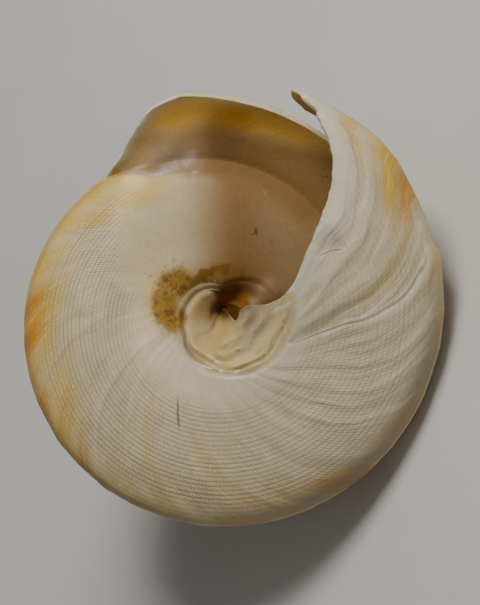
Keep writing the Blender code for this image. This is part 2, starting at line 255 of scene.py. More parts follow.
    def umbilicus(self, place: Array, phi: Array) -> tuple[Array, Array]:
        """Share of the shoulder's distance and depth below the base, across the umbilicus.

        Args:
            place: places from the shoulder, 0 to 1.
            phi: angles in degrees.

        Returns:
            The share, and the depth as a share of the rim's radius.
        """
        plain, grooved, callus = self.umbilical_walls
        ridged = eased(self.hidden_until, self.ridge_from, phi)
        covered = eased(self.callus_starts, self.callus_is_full, phi)
        found = []
        for column in (0, 1):
            wall = plain.at(place, column) * (1 - ridged) + grooved.at(place, column) * ridged
            found.append(wall * (1 - covered) + callus.at(place, column) * covered)
        return found[0], found[1]

    def inside(self, place: Array, phi: Array, depth: Array) -> tuple[Array, Array]:
        """The points this share of the rim's radius inside the outer face, square to it.

        Args:
            place: places on growth lines.
            phi: angles in degrees.
            depth: how far inside.

        Returns:
            Distance from the axis and level, in metres.
        """
        distance, level = self.outline(place, phi)
        behind = self.outline(np.maximum(0.0, place - 0.02), phi)
        ahead = self.outline(np.minimum(AXIS, place + 0.02), phi)
        along, across = ahead[0] - behind[0], ahead[1] - behind[1]
        size = np.hypot(along, across)
        reach = depth * self.coil.rim(phi)
        return distance - across / size * reach, level + along / size * reach

    def place_on_base(self, share: Array, growth: Array) -> Array:
        """The place on each growth line that lies at this share of the base.

        Args:
            share: shares of the rim's radius.
            growth: growth at each.

        Returns:
            Places on the growth lines.
        """
        share, growth = np.broadcast_arrays(share, growth)
        place = np.full(share.shape, 1.5)
        for _ in range(12):
            shoulder = self.shoulder.at(self.angle(place, growth))
            place = 1.0 + (self.rim_foot[0] - share) / (self.rim_foot[0] - shoulder)
        return place


Pair = tuple[Array, Array]


def blended(first: Pair, last: Pair, share: Array) -> Pair:
    """Distance and level on the way from one pair of them to another."""
    return first[0] + (last[0] - first[0]) * share, first[1] + (last[1] - first[1]) * share


def points(face: Pair, phi: Array) -> Array:
    """Points in the growth frame, from distance and level in metres and angles in degrees."""
    turn = np.radians(phi)
    return np.stack([face[0] * np.cos(turn), face[0] * np.sin(turn), face[1] + 0.0 * turn], axis=-1)


@dataclass(frozen=True)
class Fold:
    """A raised growth line: where it lies, its width, its height in mm, and the places that it spans.

    The growth is the one at its outer end, the lean is what is added towards its inner end for each place,
    and the steepness is how much narrower the side towards the lip is than the other.
    """

    growth: float
    width: float
    height: float
    low: float = 0.9
    high: float = 2.0
    lean: float = 0.0
    steepness: float = 2.2

    def on(self, place: Array, growth: Array) -> Array:
        """Height of the fold: a gentle rise that ends in a steeper step towards the lip.

        Args:
            place: places on growth lines.
            growth: growth at each.

        Returns:
            Heights in metres.
        """
        away = growth - self.growth - self.lean * (place - RIM)
        behind, before = self.width * math.sqrt(self.steepness), self.width / math.sqrt(self.steepness)
        profile = np.exp(-((away / np.where(away < 0, behind, before)) ** 2))
        begun = eased(self.low - 0.12, self.low + 0.06, place)
        ended = eased(self.high - 0.06, self.high + 0.12, place)
        return self.height * MM * profile * begun * (1 - ended)


@dataclass(frozen=True)
class Sculpture:
    """The relief of the outer face: spiral cords, growth folds and the scar of a break."""

    coil: Coil = Coil()
    pitch: float = 0.0215
    first_share: float = 0.985
    cord_height: float = 0.04 * MM
    thread_step: float = 1.3
    flank_cords: float = 21.0
    scar_growth: float = -50.0
    scar_lean: float = 11.0
    scar_drop: float = 0.55 * MM
    waves: tuple[Wave, ...] = (
        (1 / 23.0, 0.4, 0.06), (1 / 9.7, 1.9, 0.04), (1 / 4.3, 2.2, 0.025),
    )
    folds: tuple[Fold, ...] = (
        Fold(-4.5, 1.8, 0.22, 1.1, 1.75), Fold(-9.0, 2.0, 0.34, 1.05, 1.6, 4.0),
        Fold(-15.5, 1.7, 0.24, 1.12, 1.9, 3.0), Fold(-21.0, 2.2, 0.38, 1.0, 1.8, 5.0),
        Fold(-28.0, 2.2, 0.34, 0.95, 1.95, 6.0), Fold(-36.0, 2.0, 0.26, 1.05, 2.0, 6.0),
        Fold(-43.0, 2.2, 0.3, 1.1, 1.7, 5.0), Fold(-51.5, 1.6, 0.34, 0.9, 1.8, 11.0, 6.0),
        Fold(-58.0, 2.4, 0.26, 1.0, 1.75, 10.0), Fold(-66.0, 2.0, 0.22, 0.95, 1.7, 8.0),
        Fold(-75.0, 2.6, 0.18, 0.8, 1.9, 6.0), Fold(-88.0, 2.0, 0.14, 0.8, 1.6, 4.0),
        Fold(-104.0, 1.6, 0.13, 0.8, 1.9), Fold(-131.0, 1.2, 0.16, 0.7, 1.6),
        Fold(-160.0, 1.4, 0.1, 0.8, 1.9), Fold(-189.0, 1.5, 0.24, 0.8, 1.85, 0.0, 5.0),
        Fold(-208.5, 1.5, 0.22, 0.7, 1.25, 0.0, 5.0), Fold(-222.0, 1.5, 0.2, 0.9, 1.55, 4.0, 5.0),
        Fold(-240.0, 1.6, 0.12, 0.8, 1.5, 3.0), Fold(-262.0, 2.0, 0.12, 0.8, 1.4),
    )

    def cords(self, place: Array, share: Array) -> Array:
        """Count of cords from the rim inwards, or from the seam outwards on the flank."""
        return np.where(place > RIM, (self.first_share - share) / self.pitch, place * self.flank_cords)

    def strength(self, place: Array, growth: Array, share: Array, phi: Array) -> Array:
        """How strongly the net of cords and threads stands out.

        Args:
            place: places on growth lines.
            growth: growth at each.
            share: shares of the rim's radius.
            phi: angles in degrees.

        Returns:
            Strength from 0 to 1.
        """
        inner = eased(0.36, 0.47, share)
        rim = 1 - 0.75 * eased(0.86, 0.93, share)
        on_base = inner * rim * eased(1.0, 1.03, place) * (1 - eased(1.98, 2.0, place))
        on_flank = eased(0.0, 0.06, place) * (1 - eased(0.93, 1.0, place)) * 0.8
        band = 1 - 0.85 * eased(0.54, 0.57, place) * (1 - eased(0.69, 0.72, place))
        flap = 9.0 + 6.0 * eased(1.2, 1.7, place)
        lip = (1 - eased(-flap, -flap * 0.4, growth)) * (1 - 0.4 * eased(-150.0, -95.0, growth))
        lip = lip * (1 - 0.4 * eased(-60.0, -18.0, growth))
        glazed = self.glaze(share, phi) * (place > RIM)
        inner_end = np.where(place > RIM, eased(-300.0, -292.0, growth), 1.0)
        return np.where(place > RIM, on_base, on_flank * band) * lip * (1 - glazed) * inner_end

    def glaze(self, share: Array, phi: Array) -> Array:
        """The smooth glaze spread over the base in front of the mouth."""
        edge = 0.6 + 0.3 * eased(-207.0, -240.0, phi) - 0.22 * eased(-206.0, -182.0, phi)
        return (1 - eased(-205.0, -188.0, phi)) * (1 - eased(edge - 0.13, edge + 0.11, share))

    def height(self, place: Array, growth: Array, share: Array, phi: Array) -> Array:
        """Height of the relief above the smooth form, in metres.

        Args:
            place: places on growth lines.
            growth: growth at each.
            share: shares of the rim's radius.
            phi: angles in degrees.

        Returns:
            Heights in metres.
        """
        count = self.cords(place, share)
        net = self.cord_height * np.cos(count * math.tau) * (place > RIM)
        net = net * self.strength(place, growth, share, phi)
        turned = self.coil.rim(phi) / self.coil.rim_radius
        lines = np.zeros_like(net)
        for fold in self.folds:
            lines = lines + fold.on(place, growth) * (1 + 0.4 * eased(-110.0, -70.0, growth))
        uneven = swell(growth + 6.0 * place, self.waves)
        buried = eased(0.9, 0.985, place) * (1 - eased(-300.0, -290.0, growth))
        open_face = eased(0.0, 0.06, place) * (1 - np.clip(buried, 0.0, 1.0)) * (1 - eased(1.9, 2.0, place))
        scar = self.scar_growth + self.scar_lean * (place - RIM)
        newer = eased(scar - 0.6, scar + 0.6, growth) * (1 - eased(scar + 10.0, scar + 32.0, growth))
        drop = self.scar_drop * newer * eased(0.6, 0.9, place) * (1 - eased(1.1, 1.75, place))
        return net + (lines + uneven * MM) * turned * open_face - drop * open_face


@dataclass(frozen=True)
class LipEdge:
    """The uneven edge of the lip: small chips and scallops, as degrees of phi."""

    reach: float = 7.0
    slit: float = 0.62
    finger_rounding: float = 1.6
    far_waves: tuple[Wave, ...] = (
        (5.1, 0.3, 0.22), (13.0, 1.1, 0.16), (29.0, 0.2, 0.13), (47.0, 2.0, 0.08),
    )
    near_waves: tuple[Wave, ...] = ((3.3, 0.9, 0.2), (8.7, 2.4, 0.12), (19.0, 0.5, 0.06))

    def uneven(self, place: Array) -> Array:
        """How far the edge runs ahead of its smooth shape at each place, in degrees.

        Args:
            place: places on growth lines.

        Returns:
            Degrees of phi.
        """
        far = swell(place, self.far_waves) * eased(0.0, 0.05, place)
        finger = 1.7 * bump(place, 0.86, 0.11) - 3.5 * bump(place, 1.066, 0.026)
        finger = finger - 0.8 * bump(place, 1.13, 0.03)
        near = swell(place, self.near_waves) * eased(0.7, 0.82, place) + finger * (place > self.slit)
        mixed = np.where(place <= self.slit, far, near)
        rounded = self.finger_rounding * (1.0 - eased(0.7, 0.765, place)) * (place > self.slit)
        return mixed * (1.0 - eased(1.9, 2.0, place)) - rounded

    def ahead(self, place: Array, back: Array) -> Array:
        """The same, fading out over the growth behind the edge."""
        return self.uneven(place) * (1.0 - eased(0.0, self.reach, back))


@dataclass(frozen=True)
class UmbilicusRelief:
    """The wrinkled callus round the pit, and the groove that bounds it."""

    wrinkle: float = 0.48 * MM
    groove: float = 0.3 * MM
    softening: float = 0.7 * MM

    def waves(self, place: Array, phi: Array) -> Array:
        """The wrinkles, from about -1 in a crease to 1 on a crest.

        Args:
            place: places on growth lines.
            phi: angles in degrees.

        Returns:
            Numbers from about -1 to 1.
        """
        across = place - SHOULDER
        near_lip = eased(-95.0, -55.0, phi) * (1 - eased(14.0, 22.0, phi) * 0.4)
        warped = across + 0.035 * np.sin(np.radians(phi * 4.0))
        warped = warped + 0.02 * np.sin(np.radians(phi * 9.0 + 40.0))
        waves = np.sin(warped * math.tau * 5.2 + phi * 0.012) + 0.5 * np.sin(warped * math.tau * 9.1 + 1.3)
        span = eased(0.05, 0.18, across) * (1 - eased(0.6, 0.8, across))
        return waves / 1.5 * span * near_lip

    def edges(self, place: Array, phi: Array) -> Array:
        """The groove round the callus, with the ridge inside it, from -1 to 1."""
        groove = bump(place - SHOULDER, 0.045, 0.035) - bump(place - SHOULDER, 0.115, 0.03) * 0.6
        return -groove * eased(-120.0, -80.0, phi) * (1 - 0.9 * eased(-52.0, -26.0, phi))

    def height(self, place: Array, phi: Array) -> Array:
        """Height of the relief above the smooth callus, in metres.

        Args:
            place: places on growth lines.
            phi: angles in degrees.

        Returns:
            Heights in metres.
        """
        across = place - SHOULDER
        soft = bump(across, 0.28, 0.07) - 0.8 * bump(across, 0.03, 0.08)
        older = 1 - eased(-160.0, -115.0, phi)
        relief = self.wrinkle * self.waves(place, phi) + self.groove * self.edges(place, phi)
        return relief + self.softening * soft * older

    def crease(self, place: Array, phi: Array) -> Array:
        """How deep in a crease each point lies, from 0 to 1."""
        return np.clip(np.maximum(-self.waves(place, phi) * 1.3 - 0.25, -self.edges(place, phi)), 0.0, 1.0)


@dataclass(frozen=True)
class ShellSurface:
    """The outer face with its relief."""

    form: WhorlForm = WhorlForm()
    sculpture: Sculpture = Sculpture()
    edge: LipEdge = LipEdge()
    umbilicus: UmbilicusRelief = UmbilicusRelief()

    def angle(self, place: Array, growth: Array) -> Array:
        """The angle phi of each point, with the lip's uneven edge."""
        return self.form.angle(place, growth) + self.edge.ahead(place, -growth)

    def smooth(self, place: Array, growth: Array) -> Array:
        """Points of the smooth outer face, in the growth frame."""
        phi = self.angle(place, growth)
        return points(self.form.outline(place, phi), phi)

    def outward(self, place: Array, growth: Array) -> Array:
        """Unit vectors square to the smooth outer face.

        Args:
            place: places on growth lines.
            growth: growth at each.

        Returns:
            A vector for each point.
        """
        low, high = np.maximum(place - 0.012, 0.0), np.minimum(place + 0.012, AXIS)
        across = self.smooth(high, growth) - self.smooth(low, growth)
        along = self.smooth(place, growth + 0.6) - self.smooth(place, growth - 0.6)
        square = np.cross(along, across)
        return square / np.maximum(np.linalg.norm(square, axis=-1, keepdims=True), 1e-12)

    def relief(self, place: Array, growth: Array) -> Array:
        """Height of the relief at each point, in metres.

        Args:
            place: places on growth lines.
            growth: growth at each.

        Returns:
            Heights in metres.
        """
        phi = self.form.angle(place, growth)
        distance, _ = self.form.outline(place, phi)
        share = distance / self.form.coil.rim(phi)
        outer = self.sculpture.height(place, growth, share, phi)
        return np.where(place > 1.9, outer + self.umbilicus.height(place, phi), outer)

    def raised(self, place: Array, growth: Array) -> Array:
        """Points of the outer face with its relief, at floats of one shape."""
        relief = self.outward(place, growth) * self.relief(place, growth)[..., None]
        return self.smooth(place, growth) + relief


@dataclass(frozen=True)
class Hollow:
    """The inner face of the last whorl, from the lip inwards."""

    surface: ShellSurface = ShellSurface()
    wall: float = 0.026
    lip_edge: float = 0.015
    corner_nacre: float = 0.045
    glaze: float = 0.4 * MM
    edge_blend: float = 18.0
    columella_blend: float = 70.0
    columella_half: float = 0.45
    columella_rounding: float = 0.033
    columella_top: float = 0.33
    columella_foot: float = 0.29
    corner_share: float = 0.861
    relief_fades: float = 14.0
    old_growth: float = -300.0
    pit: tuple[float, float, float] = (0.8 * MM, 1.2 * MM, 43.0 * MM)

    @property
    def columella(self) -> Curve:
        """The columella deep in the whorl: place, distance from the axis and level, as shares."""
        return Curve([
            (0.0, self.columella_top, 1.3), (0.2, 0.262, 1.235), (0.45, 0.214, 1.11),
            (0.7, 0.205, 0.985), (0.9, 0.24, 0.912), (1.0, self.columella_foot, 0.893),
        ])

    def at_columella(self, way: Array, back: Array, near: Pair, near_angle: Array) -> Array:
        """Points of the columella, which start at the lip's own edge and settle behind it.

        Args:
            way: share of the way round the columella.
            back: degrees behind the lip.
            near: distance and level of each line at the lip.
            near_angle: its angle there.

        Returns:
            Points in the growth frame.
        """
        form = self.surface.form
        settled = eased(0.0, self.columella_blend, back)
        top = form.lip_angle(SHOULDER)
        foot = form.angle(SHOULDER, self.old_growth) + 360.0
        phi = top + (foot - top) * way - back
        rim = form.coil.rim(phi)
        far = (rim * self.columella.at(way, 0), rim * self.columella.at(way, 1))
        return points(blended(near, far, settled), near_angle + (phi - near_angle) * settled)

    def under_flank(self, place: Array, back: Array) -> Array:
        """Points inside the flank.

        Args:
            place: places on growth lines.
            back: degrees behind the lip.

        Returns:
            Points in the growth frame.
        """
        form = self.surface.form
        phi = form.lip_angle(place) - back + self.surface.edge.ahead(place, back)
        edge = form.inside(place, phi, self.lip_edge * eased(0.0, 0.1, place))
        nacre = self.corner_nacre * (1.0 - eased(0.0, 0.42, place))
        deep = form.inside(place, phi, self.wall + nacre)
        return points(blended(edge, deep, eased(0.0, self.edge_blend, back)), phi)

    def under_base(self, place: Array, back: Array) -> Array:
        """Points inside the base and the umbilicus.

        Args:
            place: places on growth lines.
            back: degrees behind the lip.

        Returns:
            Points in the growth frame.
        """
        form = self.surface.form
        phi = form.lip_angle(place) - back + self.surface.edge.ahead(place, back)
        edge, deep = form.inside(place, phi, self.lip_edge), form.inside(place, phi, self.wall)
        near = blended(edge, deep, eased(0.0, self.edge_blend, back))
        inner = self.at_columella(self.columella_half * np.clip(place - SHOULDER, 0, 1), back, near, phi)
        wide = form.rim_foot[0]
        wanted = wide + (self.columella_top - wide) * np.clip(place - RIM, 0, 1)
        rim = form.coil.rim(phi)
        rounding = self.columella_rounding * eased(1.6, 2.0, place)
        far = (rim * wanted, rim * (form.base.at(wanted) - self.wall - rounding))
        far = blended(deep, far, eased(RIM, 1.15, place))
        outer = points(blended(near, far, eased(0.0, self.columella_blend, back)), phi)
        return np.where((place > SHOULDER)[..., None], inner, outer)

    def core(self, place: Array, back: Array) -> Array:
        """Points that start at the bottom of the pit.

        Args:
            place: places on the growth lines, all by the axis.
            back: degrees behind the lip.

        Returns:
            Points in the growth frame.
        """
        x, y, z = self.pit
        near = (np.full(back.shape, math.hypot(x, y)), np.full(back.shape, z))
        angle = math.degrees(math.atan2(y, x)) - back
        return self.at_columella(0.5 * (place - SHOULDER), back, near, angle)

    def on_old_whorl(self, place: Array, back: Array) -> Array:
        """Points on the earlier whorl, glazed with nacre, from the umbilicus to the seam.

        Args:
            place: places on growth lines.
            back: degrees behind the lip.

        Returns:
            Points in the growth frame.
        """
        form = self.surface.form
        growth = self.old_growth - back
        phi = form.angle(place, growth)
        distance, level = form.outline(place, phi)
        level = level + self.glaze * eased(0.0, self.edge_blend, back)
        way = 1.0 - self.columella_half * np.clip(place - SHOULDER, 0, 1)
        inner = self.at_columella(way, back, (distance, level), phi + 360.0)
        rim = form.coil.rim(phi)
        wide = form.rim_foot[0]
        narrow = self.columella_foot * form.coil.growth_per_turn
        share = wide + (narrow - wide) * np.clip(place - RIM, 0, 1)
        under = (rim * share, rim * form.base.at(share) + self.glaze)
        face = blended((distance, level), under, eased(0.0, self.columella_blend, back))
        corner = form.inside(np.zeros_like(phi), phi + 360.0, self.wall + self.corner_nacre)
        foot = (rim * self.corner_share, rim * form.base.at(self.corner_share) + self.glaze)
        way = np.clip((share - self.corner_share) / (wide - self.corner_share), 0, 1)
        filled = blended(foot, corner, way)
        part = eased(0.0, self.edge_blend, back) * (share > self.corner_share)
        outer = points(blended(face, filled, part), phi)
        fading = 1.0 - eased(0.0, self.relief_fades, back)
        relief = self.surface.relief(place, growth) * fading
        outer = outer + self.surface.outward(place, growth) * (relief * (place <= SHOULDER))[..., None]
        raised = self.surface.raised(place, growth) - self.surface.smooth(place, growth)
        inner = inner + raised * fading[..., None]
        return np.where((place > SHOULDER)[..., None], inner, outer)


@dataclass(frozen=True)
class Spot:
    """A soft patch on the shell as seen along the axis: middle, half sizes and turn, in mm and degrees."""

    x: float
    y: float
    wide: float
    tall: float
    strength: float = 1.0
    turn: float = 0.0

    def on(self, spots: Array) -> Array:
        """Strength of the patch at points of the growth frame.

        Args:
            spots: points in the growth frame.

        Returns:
            Strength at each point.
        """
        along, across = spots[..., 0] / MM - self.x, spots[..., 1] / MM - self.y
        cos, sin = math.cos(math.radians(self.turn)), math.sin(math.radians(self.turn))
        right, up = along * cos + across * sin, across * cos - along * sin
        away = (right / self.wide) ** 2 + (up / self.tall) ** 2
        return self.strength * np.exp(-(away ** 1.5))


def strongest(spots: Sequence[Spot], where: Array) -> Array:
    """The strongest of several patches at each point."""
    return np.max([spot.on(where) for spot in spots], axis=0)


@dataclass(frozen=True)
class Flame:
    """A streak of colour along growth lines by the rim: its growth, width, inner share and strength."""

    growth: float
    width: float
    inner: float
    strength: float
    fade: float = 0.07

    def on(self, growth: Array, share: Array) -> Array:
        """Strength of the streak at each point."""
        rise = eased(self.inner - self.fade, self.inner + self.fade, share)
        return self.strength * bump(growth, self.growth, self.width) * rise


class Mask(Enum):
    """What is painted on the shell, point by point."""

    NET = "net"
    FLAME = "streak"
    YELLOW = "yellow"
    STAIN = "stain"
    GLAZE = "glaze"
    NACRE = "nacre"
    TAN = "tan"
    # a real amber stain, and painted shade in the creases of the callus and beside the hole
    SOAK = "soak"
    LILAC = "lilac"
    # painted shade: the hole in the umbilicus and the deep inside of the mouth, painted dark brown
    DARK = "dark"
    WHITE = "white"
    GOLD = "gold"
    # painted highlights and glints
    GLEAM = "gleam"
    SPECK = "speck"
    FOLD = "fold"
    WRINKLE = "wrinkle"
    PAUSE = "pause"
    # painted shade: under the far lip, beside and in the hole, and darker below the pit
    SHADE = "shade"


Masks = dict[Mask, Array]


@dataclass(frozen=True)
class Markings:
    """Where each colour and finish, and each painted shade and highlight, lies on the shell."""

    sculpture: Sculpture = Sculpture()
    umbilicus: UmbilicusRelief = UmbilicusRelief()
    streak_waves: tuple[Wave, ...] = (
        (1 / 31.0, 0.0, 0.6), (1 / 17.3, 2.1, 0.5), (1 / 53.0, 4.0, 0.5), (1 / 8.1, 1.0, 0.25),
    )
    flames: tuple[Flame, ...] = (
        Flame(-268.0, 3.5, 0.95, 0.2), Flame(-261.0, 3.5, 0.9, 0.22), Flame(-249.0, 6.0, 0.88, 0.9),
        Flame(-239.0, 5.5, 0.88, 0.95), Flame(-219.0, 6.0, 0.93, 0.75), Flame(-206.0, 4.0, 0.87, 0.38),
        Flame(-228.0, 26.0, 0.93, 0.42),
        Flame(-197.0, 4.0, 0.88, 0.55), Flame(-190.0, 3.0, 0.95, 0.6), Flame(-149.0, 9.0, 0.94, 0.6),
        Flame(-116.0, 7.0, 0.89, 1.0), Flame(-104.0, 4.0, 0.95, 0.5), Flame(-68.0, 9.0, 0.96, 0.4),
        Flame(-33.0, 5.5, 0.88, 0.8), Flame(-26.0, 3.0, 0.93, 0.5),
    )
    yellows: tuple[Flame, ...] = (
        Flame(-293.0, 9.0, 0.76, 1.5), Flame(-279.0, 6.0, 0.79, 1.45), Flame(-262.0, 9.0, 0.87, 1.1),
        Flame(-240.0, 18.0, 0.8, 1.0), Flame(-209.0, 12.0, 0.78, 0.8), Flame(-178.0, 12.0, 0.92, 0.45),
        Flame(-165.0, 2.5, 0.52, 0.35), Flame(-138.0, 2.6, 0.6, 0.45), Flame(-128.0, 12.0, 0.88, 0.45),
        Flame(-93.0, 5.0, 0.93, 0.8), Flame(-54.0, 5.0, 0.94, 0.7), Flame(-70.0, 10.0, 0.93, 0.3),
        Flame(-36.0, 4.0, 0.6, 0.4), Flame(-25.0, 7.0, 0.84, 1.1), Flame(-12.0, 4.0, 0.86, 0.8),
    )
    crust: tuple[Spot, ...] = (
        Spot(-9.6, 9.0, 5.0, 4.2, 1.0, 20.0), Spot(-12.8, 3.4, 3.6, 5.4, 1.0),
        Spot(-10.2, -1.6, 3.4, 3.0, 0.8),
    )
    # an amber stain round the hole; the spot beside the hole is painted shade of its deep corner
    soak: tuple[Spot, ...] = (
        Spot(-1.4, 11.6, 4.6, 1.0, 1.6, 27.0), Spot(3.6, 13.0, 1.6, 1.2, 1.6),
        Spot(8.1, 10.8, 2.4, 0.6, 1.1, 80.0), Spot(1.0, 11.6, 6.5, 2.6, 0.55, 12.0),
        Spot(-8.6, 9.4, 5.0, 3.8, 0.85, 20.0), Spot(-5.6, 9.2, 3.2, 1.8, 1.1, 30.0),
        Spot(-11.4, 2.6, 3.4, 6.0, 0.65), Spot(8.6, 5.0, 3.4, 2.8, 1.1),
        Spot(-7.6, 0.6, 1.4, 2.6, 0.9, 20.0),
    )
    halo: tuple[Spot, ...] = (
        Spot(-10.6, 4.6, 8.0, 9.5, 0.8), Spot(-4.6, -7.0, 3.4, 4.6, 0.5, 40.0),
        Spot(1.0, 12.0, 9.0, 3.6, 0.7, 8.0),
    )
    # where the painted shade of the hole lies
    hole: tuple[Spot, ...] = (Spot(4.6, 4.6, 3.2, 4.0, 1.0), Spot(3.5, 1.8, 2.2, 3.0, 1.0, 20.0))
    # painted shade: tan in the bowl towards the hole, and tan with shade beside the hole
    bowl: Spot = Spot(0.8, 3.0, 6.4, 5.8, 0.8)
    beside_hole: Spot = Spot(8.4, 5.2, 4.4, 4.0, 1.0)
    low_side: Spot = Spot(-2.0, -5.5, 7.5, 5.5, 1.0, -50.0)
    # painted glints on the edge of the callus
    pearls: tuple[Spot, ...] = (
        Spot(20.8, 7.7, 0.9, 1.6, 1.4, -30.0), Spot(19.6, 3.4, 2.0, 0.7, 0.9, 40.0),
        Spot(17.0, 2.0, 2.0, 0.6, 0.8, 35.0), Spot(8.0, -15.6, 6.0, 0.5, 0.7, 4.0),
    )
    specks: tuple[Spot, ...] = (
        Spot(12.4, 21.4, 4.6, 1.9, 1.0, -42.0), Spot(31.0, 37.0, 1.6, 2.4, 0.9),
        Spot(-11.0, 9.6, 6.0, 6.0, 0.6),
    )
    # painted highlights on the nacre inside the mouth
    gleams: tuple[Spot, ...] = (
        Spot(-10.0, 40.0, 5.6, 2.0, 0.52, 36.0), Spot(-9.2, 40.2, 4.0, 0.7, 0.55, 38.0),
        Spot(-13.6, 37.9, 3.6, 0.8, 0.5, 10.0), Spot(-2.6, 38.0, 3.2, 0.7, 0.7, -14.0),
        Spot(-6.4, 41.6, 3.6, 1.8, 0.55, 44.0), Spot(14.1, 33.2, 2.4, 0.5, 0.22, -48.0),
    )
    under_lip: tuple[Spot, ...] = (Spot(3.6, 46.2, 6.0, 5.4, 0.5), Spot(9.0, 43.0, 7.0, 3.4, 0.25, -20.0))
    nacre_foot: tuple[tuple[float, float], ...] = (
        (-30.0, 36.9), (-21.1, 37.9), (-15.9, 37.4), (-8.6, 38.4), (1.1, 36.8), (7.6, 36.5), (13.4, 32.9),
        (18.8, 29.0), (24.6, 25.1),
    )
    amber: Spot = Spot(5.5, 52.0, 7.5, 4.2)
    corner: Spot = Spot(-26.0, 37.6, 3.2, 1.6, 1.0, 20.0)
    pearly: Spot = Spot(-10.0, 41.0, 10.5, 6.5, 0.66, 12.0)
    # where the finger's inner face is painted as if lit
    finger: Spot = Spot(24.0, 55.5, 6.0, 5.5, 1.0)
    shade_edge: tuple[float, float] = (-6.0, 1.0)
    parietal_edge: tuple[float, float] = (-12.0, 7.0)
    rim_edge: tuple[float, float] = (1.2, 2.6)

    def blank(self, like: Array) -> Masks:
        """No marking at all."""
        return {mask: np.zeros(like.shape) for mask in Mask}

    def streaks(self, growth: Array) -> Array:
        """Uneven streaks along growth lines, for the flank of every whorl."""
        return np.clip(swell(growth, self.streak_waves) - 0.35, 0.0, 1.0)

    def outside(self, place: Array, growth: Array, share: Array, phi: Array,
                spots: Array) -> Masks:
        """The marks of the outer face.

        Args:
            place: places on growth lines.
            growth: growth at each.
            share: distance from the axis, as a share of the rim's.
            phi: angle of each point.
            spots: the points themselves, in the growth frame.

        Returns:
            A value from 0 to 1 for each mask and point.
        """
        masks = self.blank(share)
        masks[Mask.NET] = self.sculpture.strength(place, growth, share, phi)
        on_base = place > RIM
        near_rim = np.where(on_base, share, 1.0)
        flame = np.max([one.on(growth, near_rim) for one in self.flames], axis=0)
        yellow = np.max([one.on(growth, near_rim) for one in self.yellows], axis=0)
        high = np.where(on_base, 1.0, 0.25 + 0.75 * eased(0.72, 0.98, place))
        off_rim = np.where(on_base, 0.0, 1.0 - 0.9 * eased(0.78, 0.97, place))
        streaks = self.streaks(growth) * off_rim
        by_far_lip = np.where(on_base, 0.0, eased(-10.0, -4.0, growth))
        masks[Mask.FLAME] = np.clip(np.maximum(flame * high, streaks), 0, 1) * (1 - by_far_lip)
        glazed = self.sculpture.glaze(share, phi) * on_base
        callus = eased(SHOULDER, 2.1, place) * eased(-150.0, -90.0, phi)
        masks[Mask.GLAZE] = np.maximum(glazed * 0.7, callus)
        by_lip = eased(2.25, 2.55, place) * eased(-40.0, 0.0, phi)
        masks[Mask.NACRE] = callus * by_lip * 0.16
        halo = strongest(self.halo, spots) * on_base
        paler = eased(-85.0, -30.0, phi) * 0.46
        yellow = np.clip(np.maximum(yellow * high, self.streaks(growth + 9.0) * off_rim * 0.8), 0, 1)
        masks[Mask.YELLOW] = np.maximum(yellow, np.maximum(callus * (0.62 - paler), halo))
        masks[Mask.GLEAM] = strongest(self.pearls, spots) * on_base
        # painted shade in the hole, and darker below the pit
        by_hole = np.clip(strongest(self.hole, spots) * 1.2, 0, 1) * eased(2.82, 2.95, place)
        masks[Mask.SHADE] = np.maximum(self.low_side.on(spots) * on_base * 0.16, by_hole)
        outer = 1 - eased(1.98, 2.06, place)
        flap = eased(-26.0, -6.0, growth) * outer * np.where(on_base, 1.0, eased(-9.0, -3.0, growth))
        rim_of_pit = (1 - eased(0.36, 0.5, share)) * on_base * outer
        newer = eased(-140.0, -60.0, growth) * 0.3 * on_base * outer
        pale_pit = rim_of_pit * (0.4 + 0.35 * eased(-140.0, -70.0, phi))
        masks[Mask.WHITE] = np.clip(np.maximum(np.maximum(flap, pale_pit), newer), 0, 1)
        crease = self.umbilicus.crease(place, phi) * on_base
        masks[Mask.STAIN] = strongest(self.crust, spots) * on_base
        # the stain, with painted shade in the creases of the callus
        masks[Mask.SOAK] = np.maximum(strongest(self.soak, spots) * on_base, crease * 0.2)
        masks[Mask.SPECK] = strongest(self.specks, spots) * on_base
        recent = 0.3 + 0.7 * eased(-125.0, -60.0, growth)
        seam = eased(-299.0, -290.0, growth)
        by_pit = 0.25 + 0.75 * eased(0.36, 0.66, share)
        masks[Mask.FOLD] = recent * eased(1.0, 1.08, place) * outer * (1 - glazed) * by_pit * seam
        masks[Mask.WRINKLE] = callus * (1 - eased(2.72, 2.9, place))
        masks[Mask.PAUSE] = eased(1.0, 1.04, place) * outer * seam
        newer_ring = eased(-112.0, -84.0, phi)
        ring = bump(place, 2.2, 0.18) * (1 - newer_ring)
        thin_ring = bump(place, 2.05, 0.03) * newer_ring * (1 - eased(-55.0, -40.0, phi)) * 0.8
        # painted shade along the rim and low on the base, laid in the lilac tint
        rim_shade = eased(0.955, 0.985, share) * (1 - eased(-110.0, -60.0, growth)) * 0.5
        low_shade = eased(0.87, 0.96, share) * eased(-165.0, -125.0, growth)
        low_shade = low_shade * (1 - eased(-80.0, -45.0, growth))
        by_rim = np.maximum(rim_shade, low_shade) * on_base
        masks[Mask.LILAC] = np.maximum(ring, np.maximum(thin_ring, by_rim))
        above_pit = eased(7.0, 12.0, spots[..., 1] / MM)
        # tan inside the mouth, partly painted shade
        parietal = on_base * (growth < -190.0) * self.parietal_tan(spots) * above_pit
        # painted shade: the bowl turns tan towards the hole
        bowl = self.bowl.on(spots) * eased(2.3, 2.5, place) * (1 - eased(-90.0, -60.0, growth))
        masks[Mask.TAN] = np.maximum(parietal, bowl)
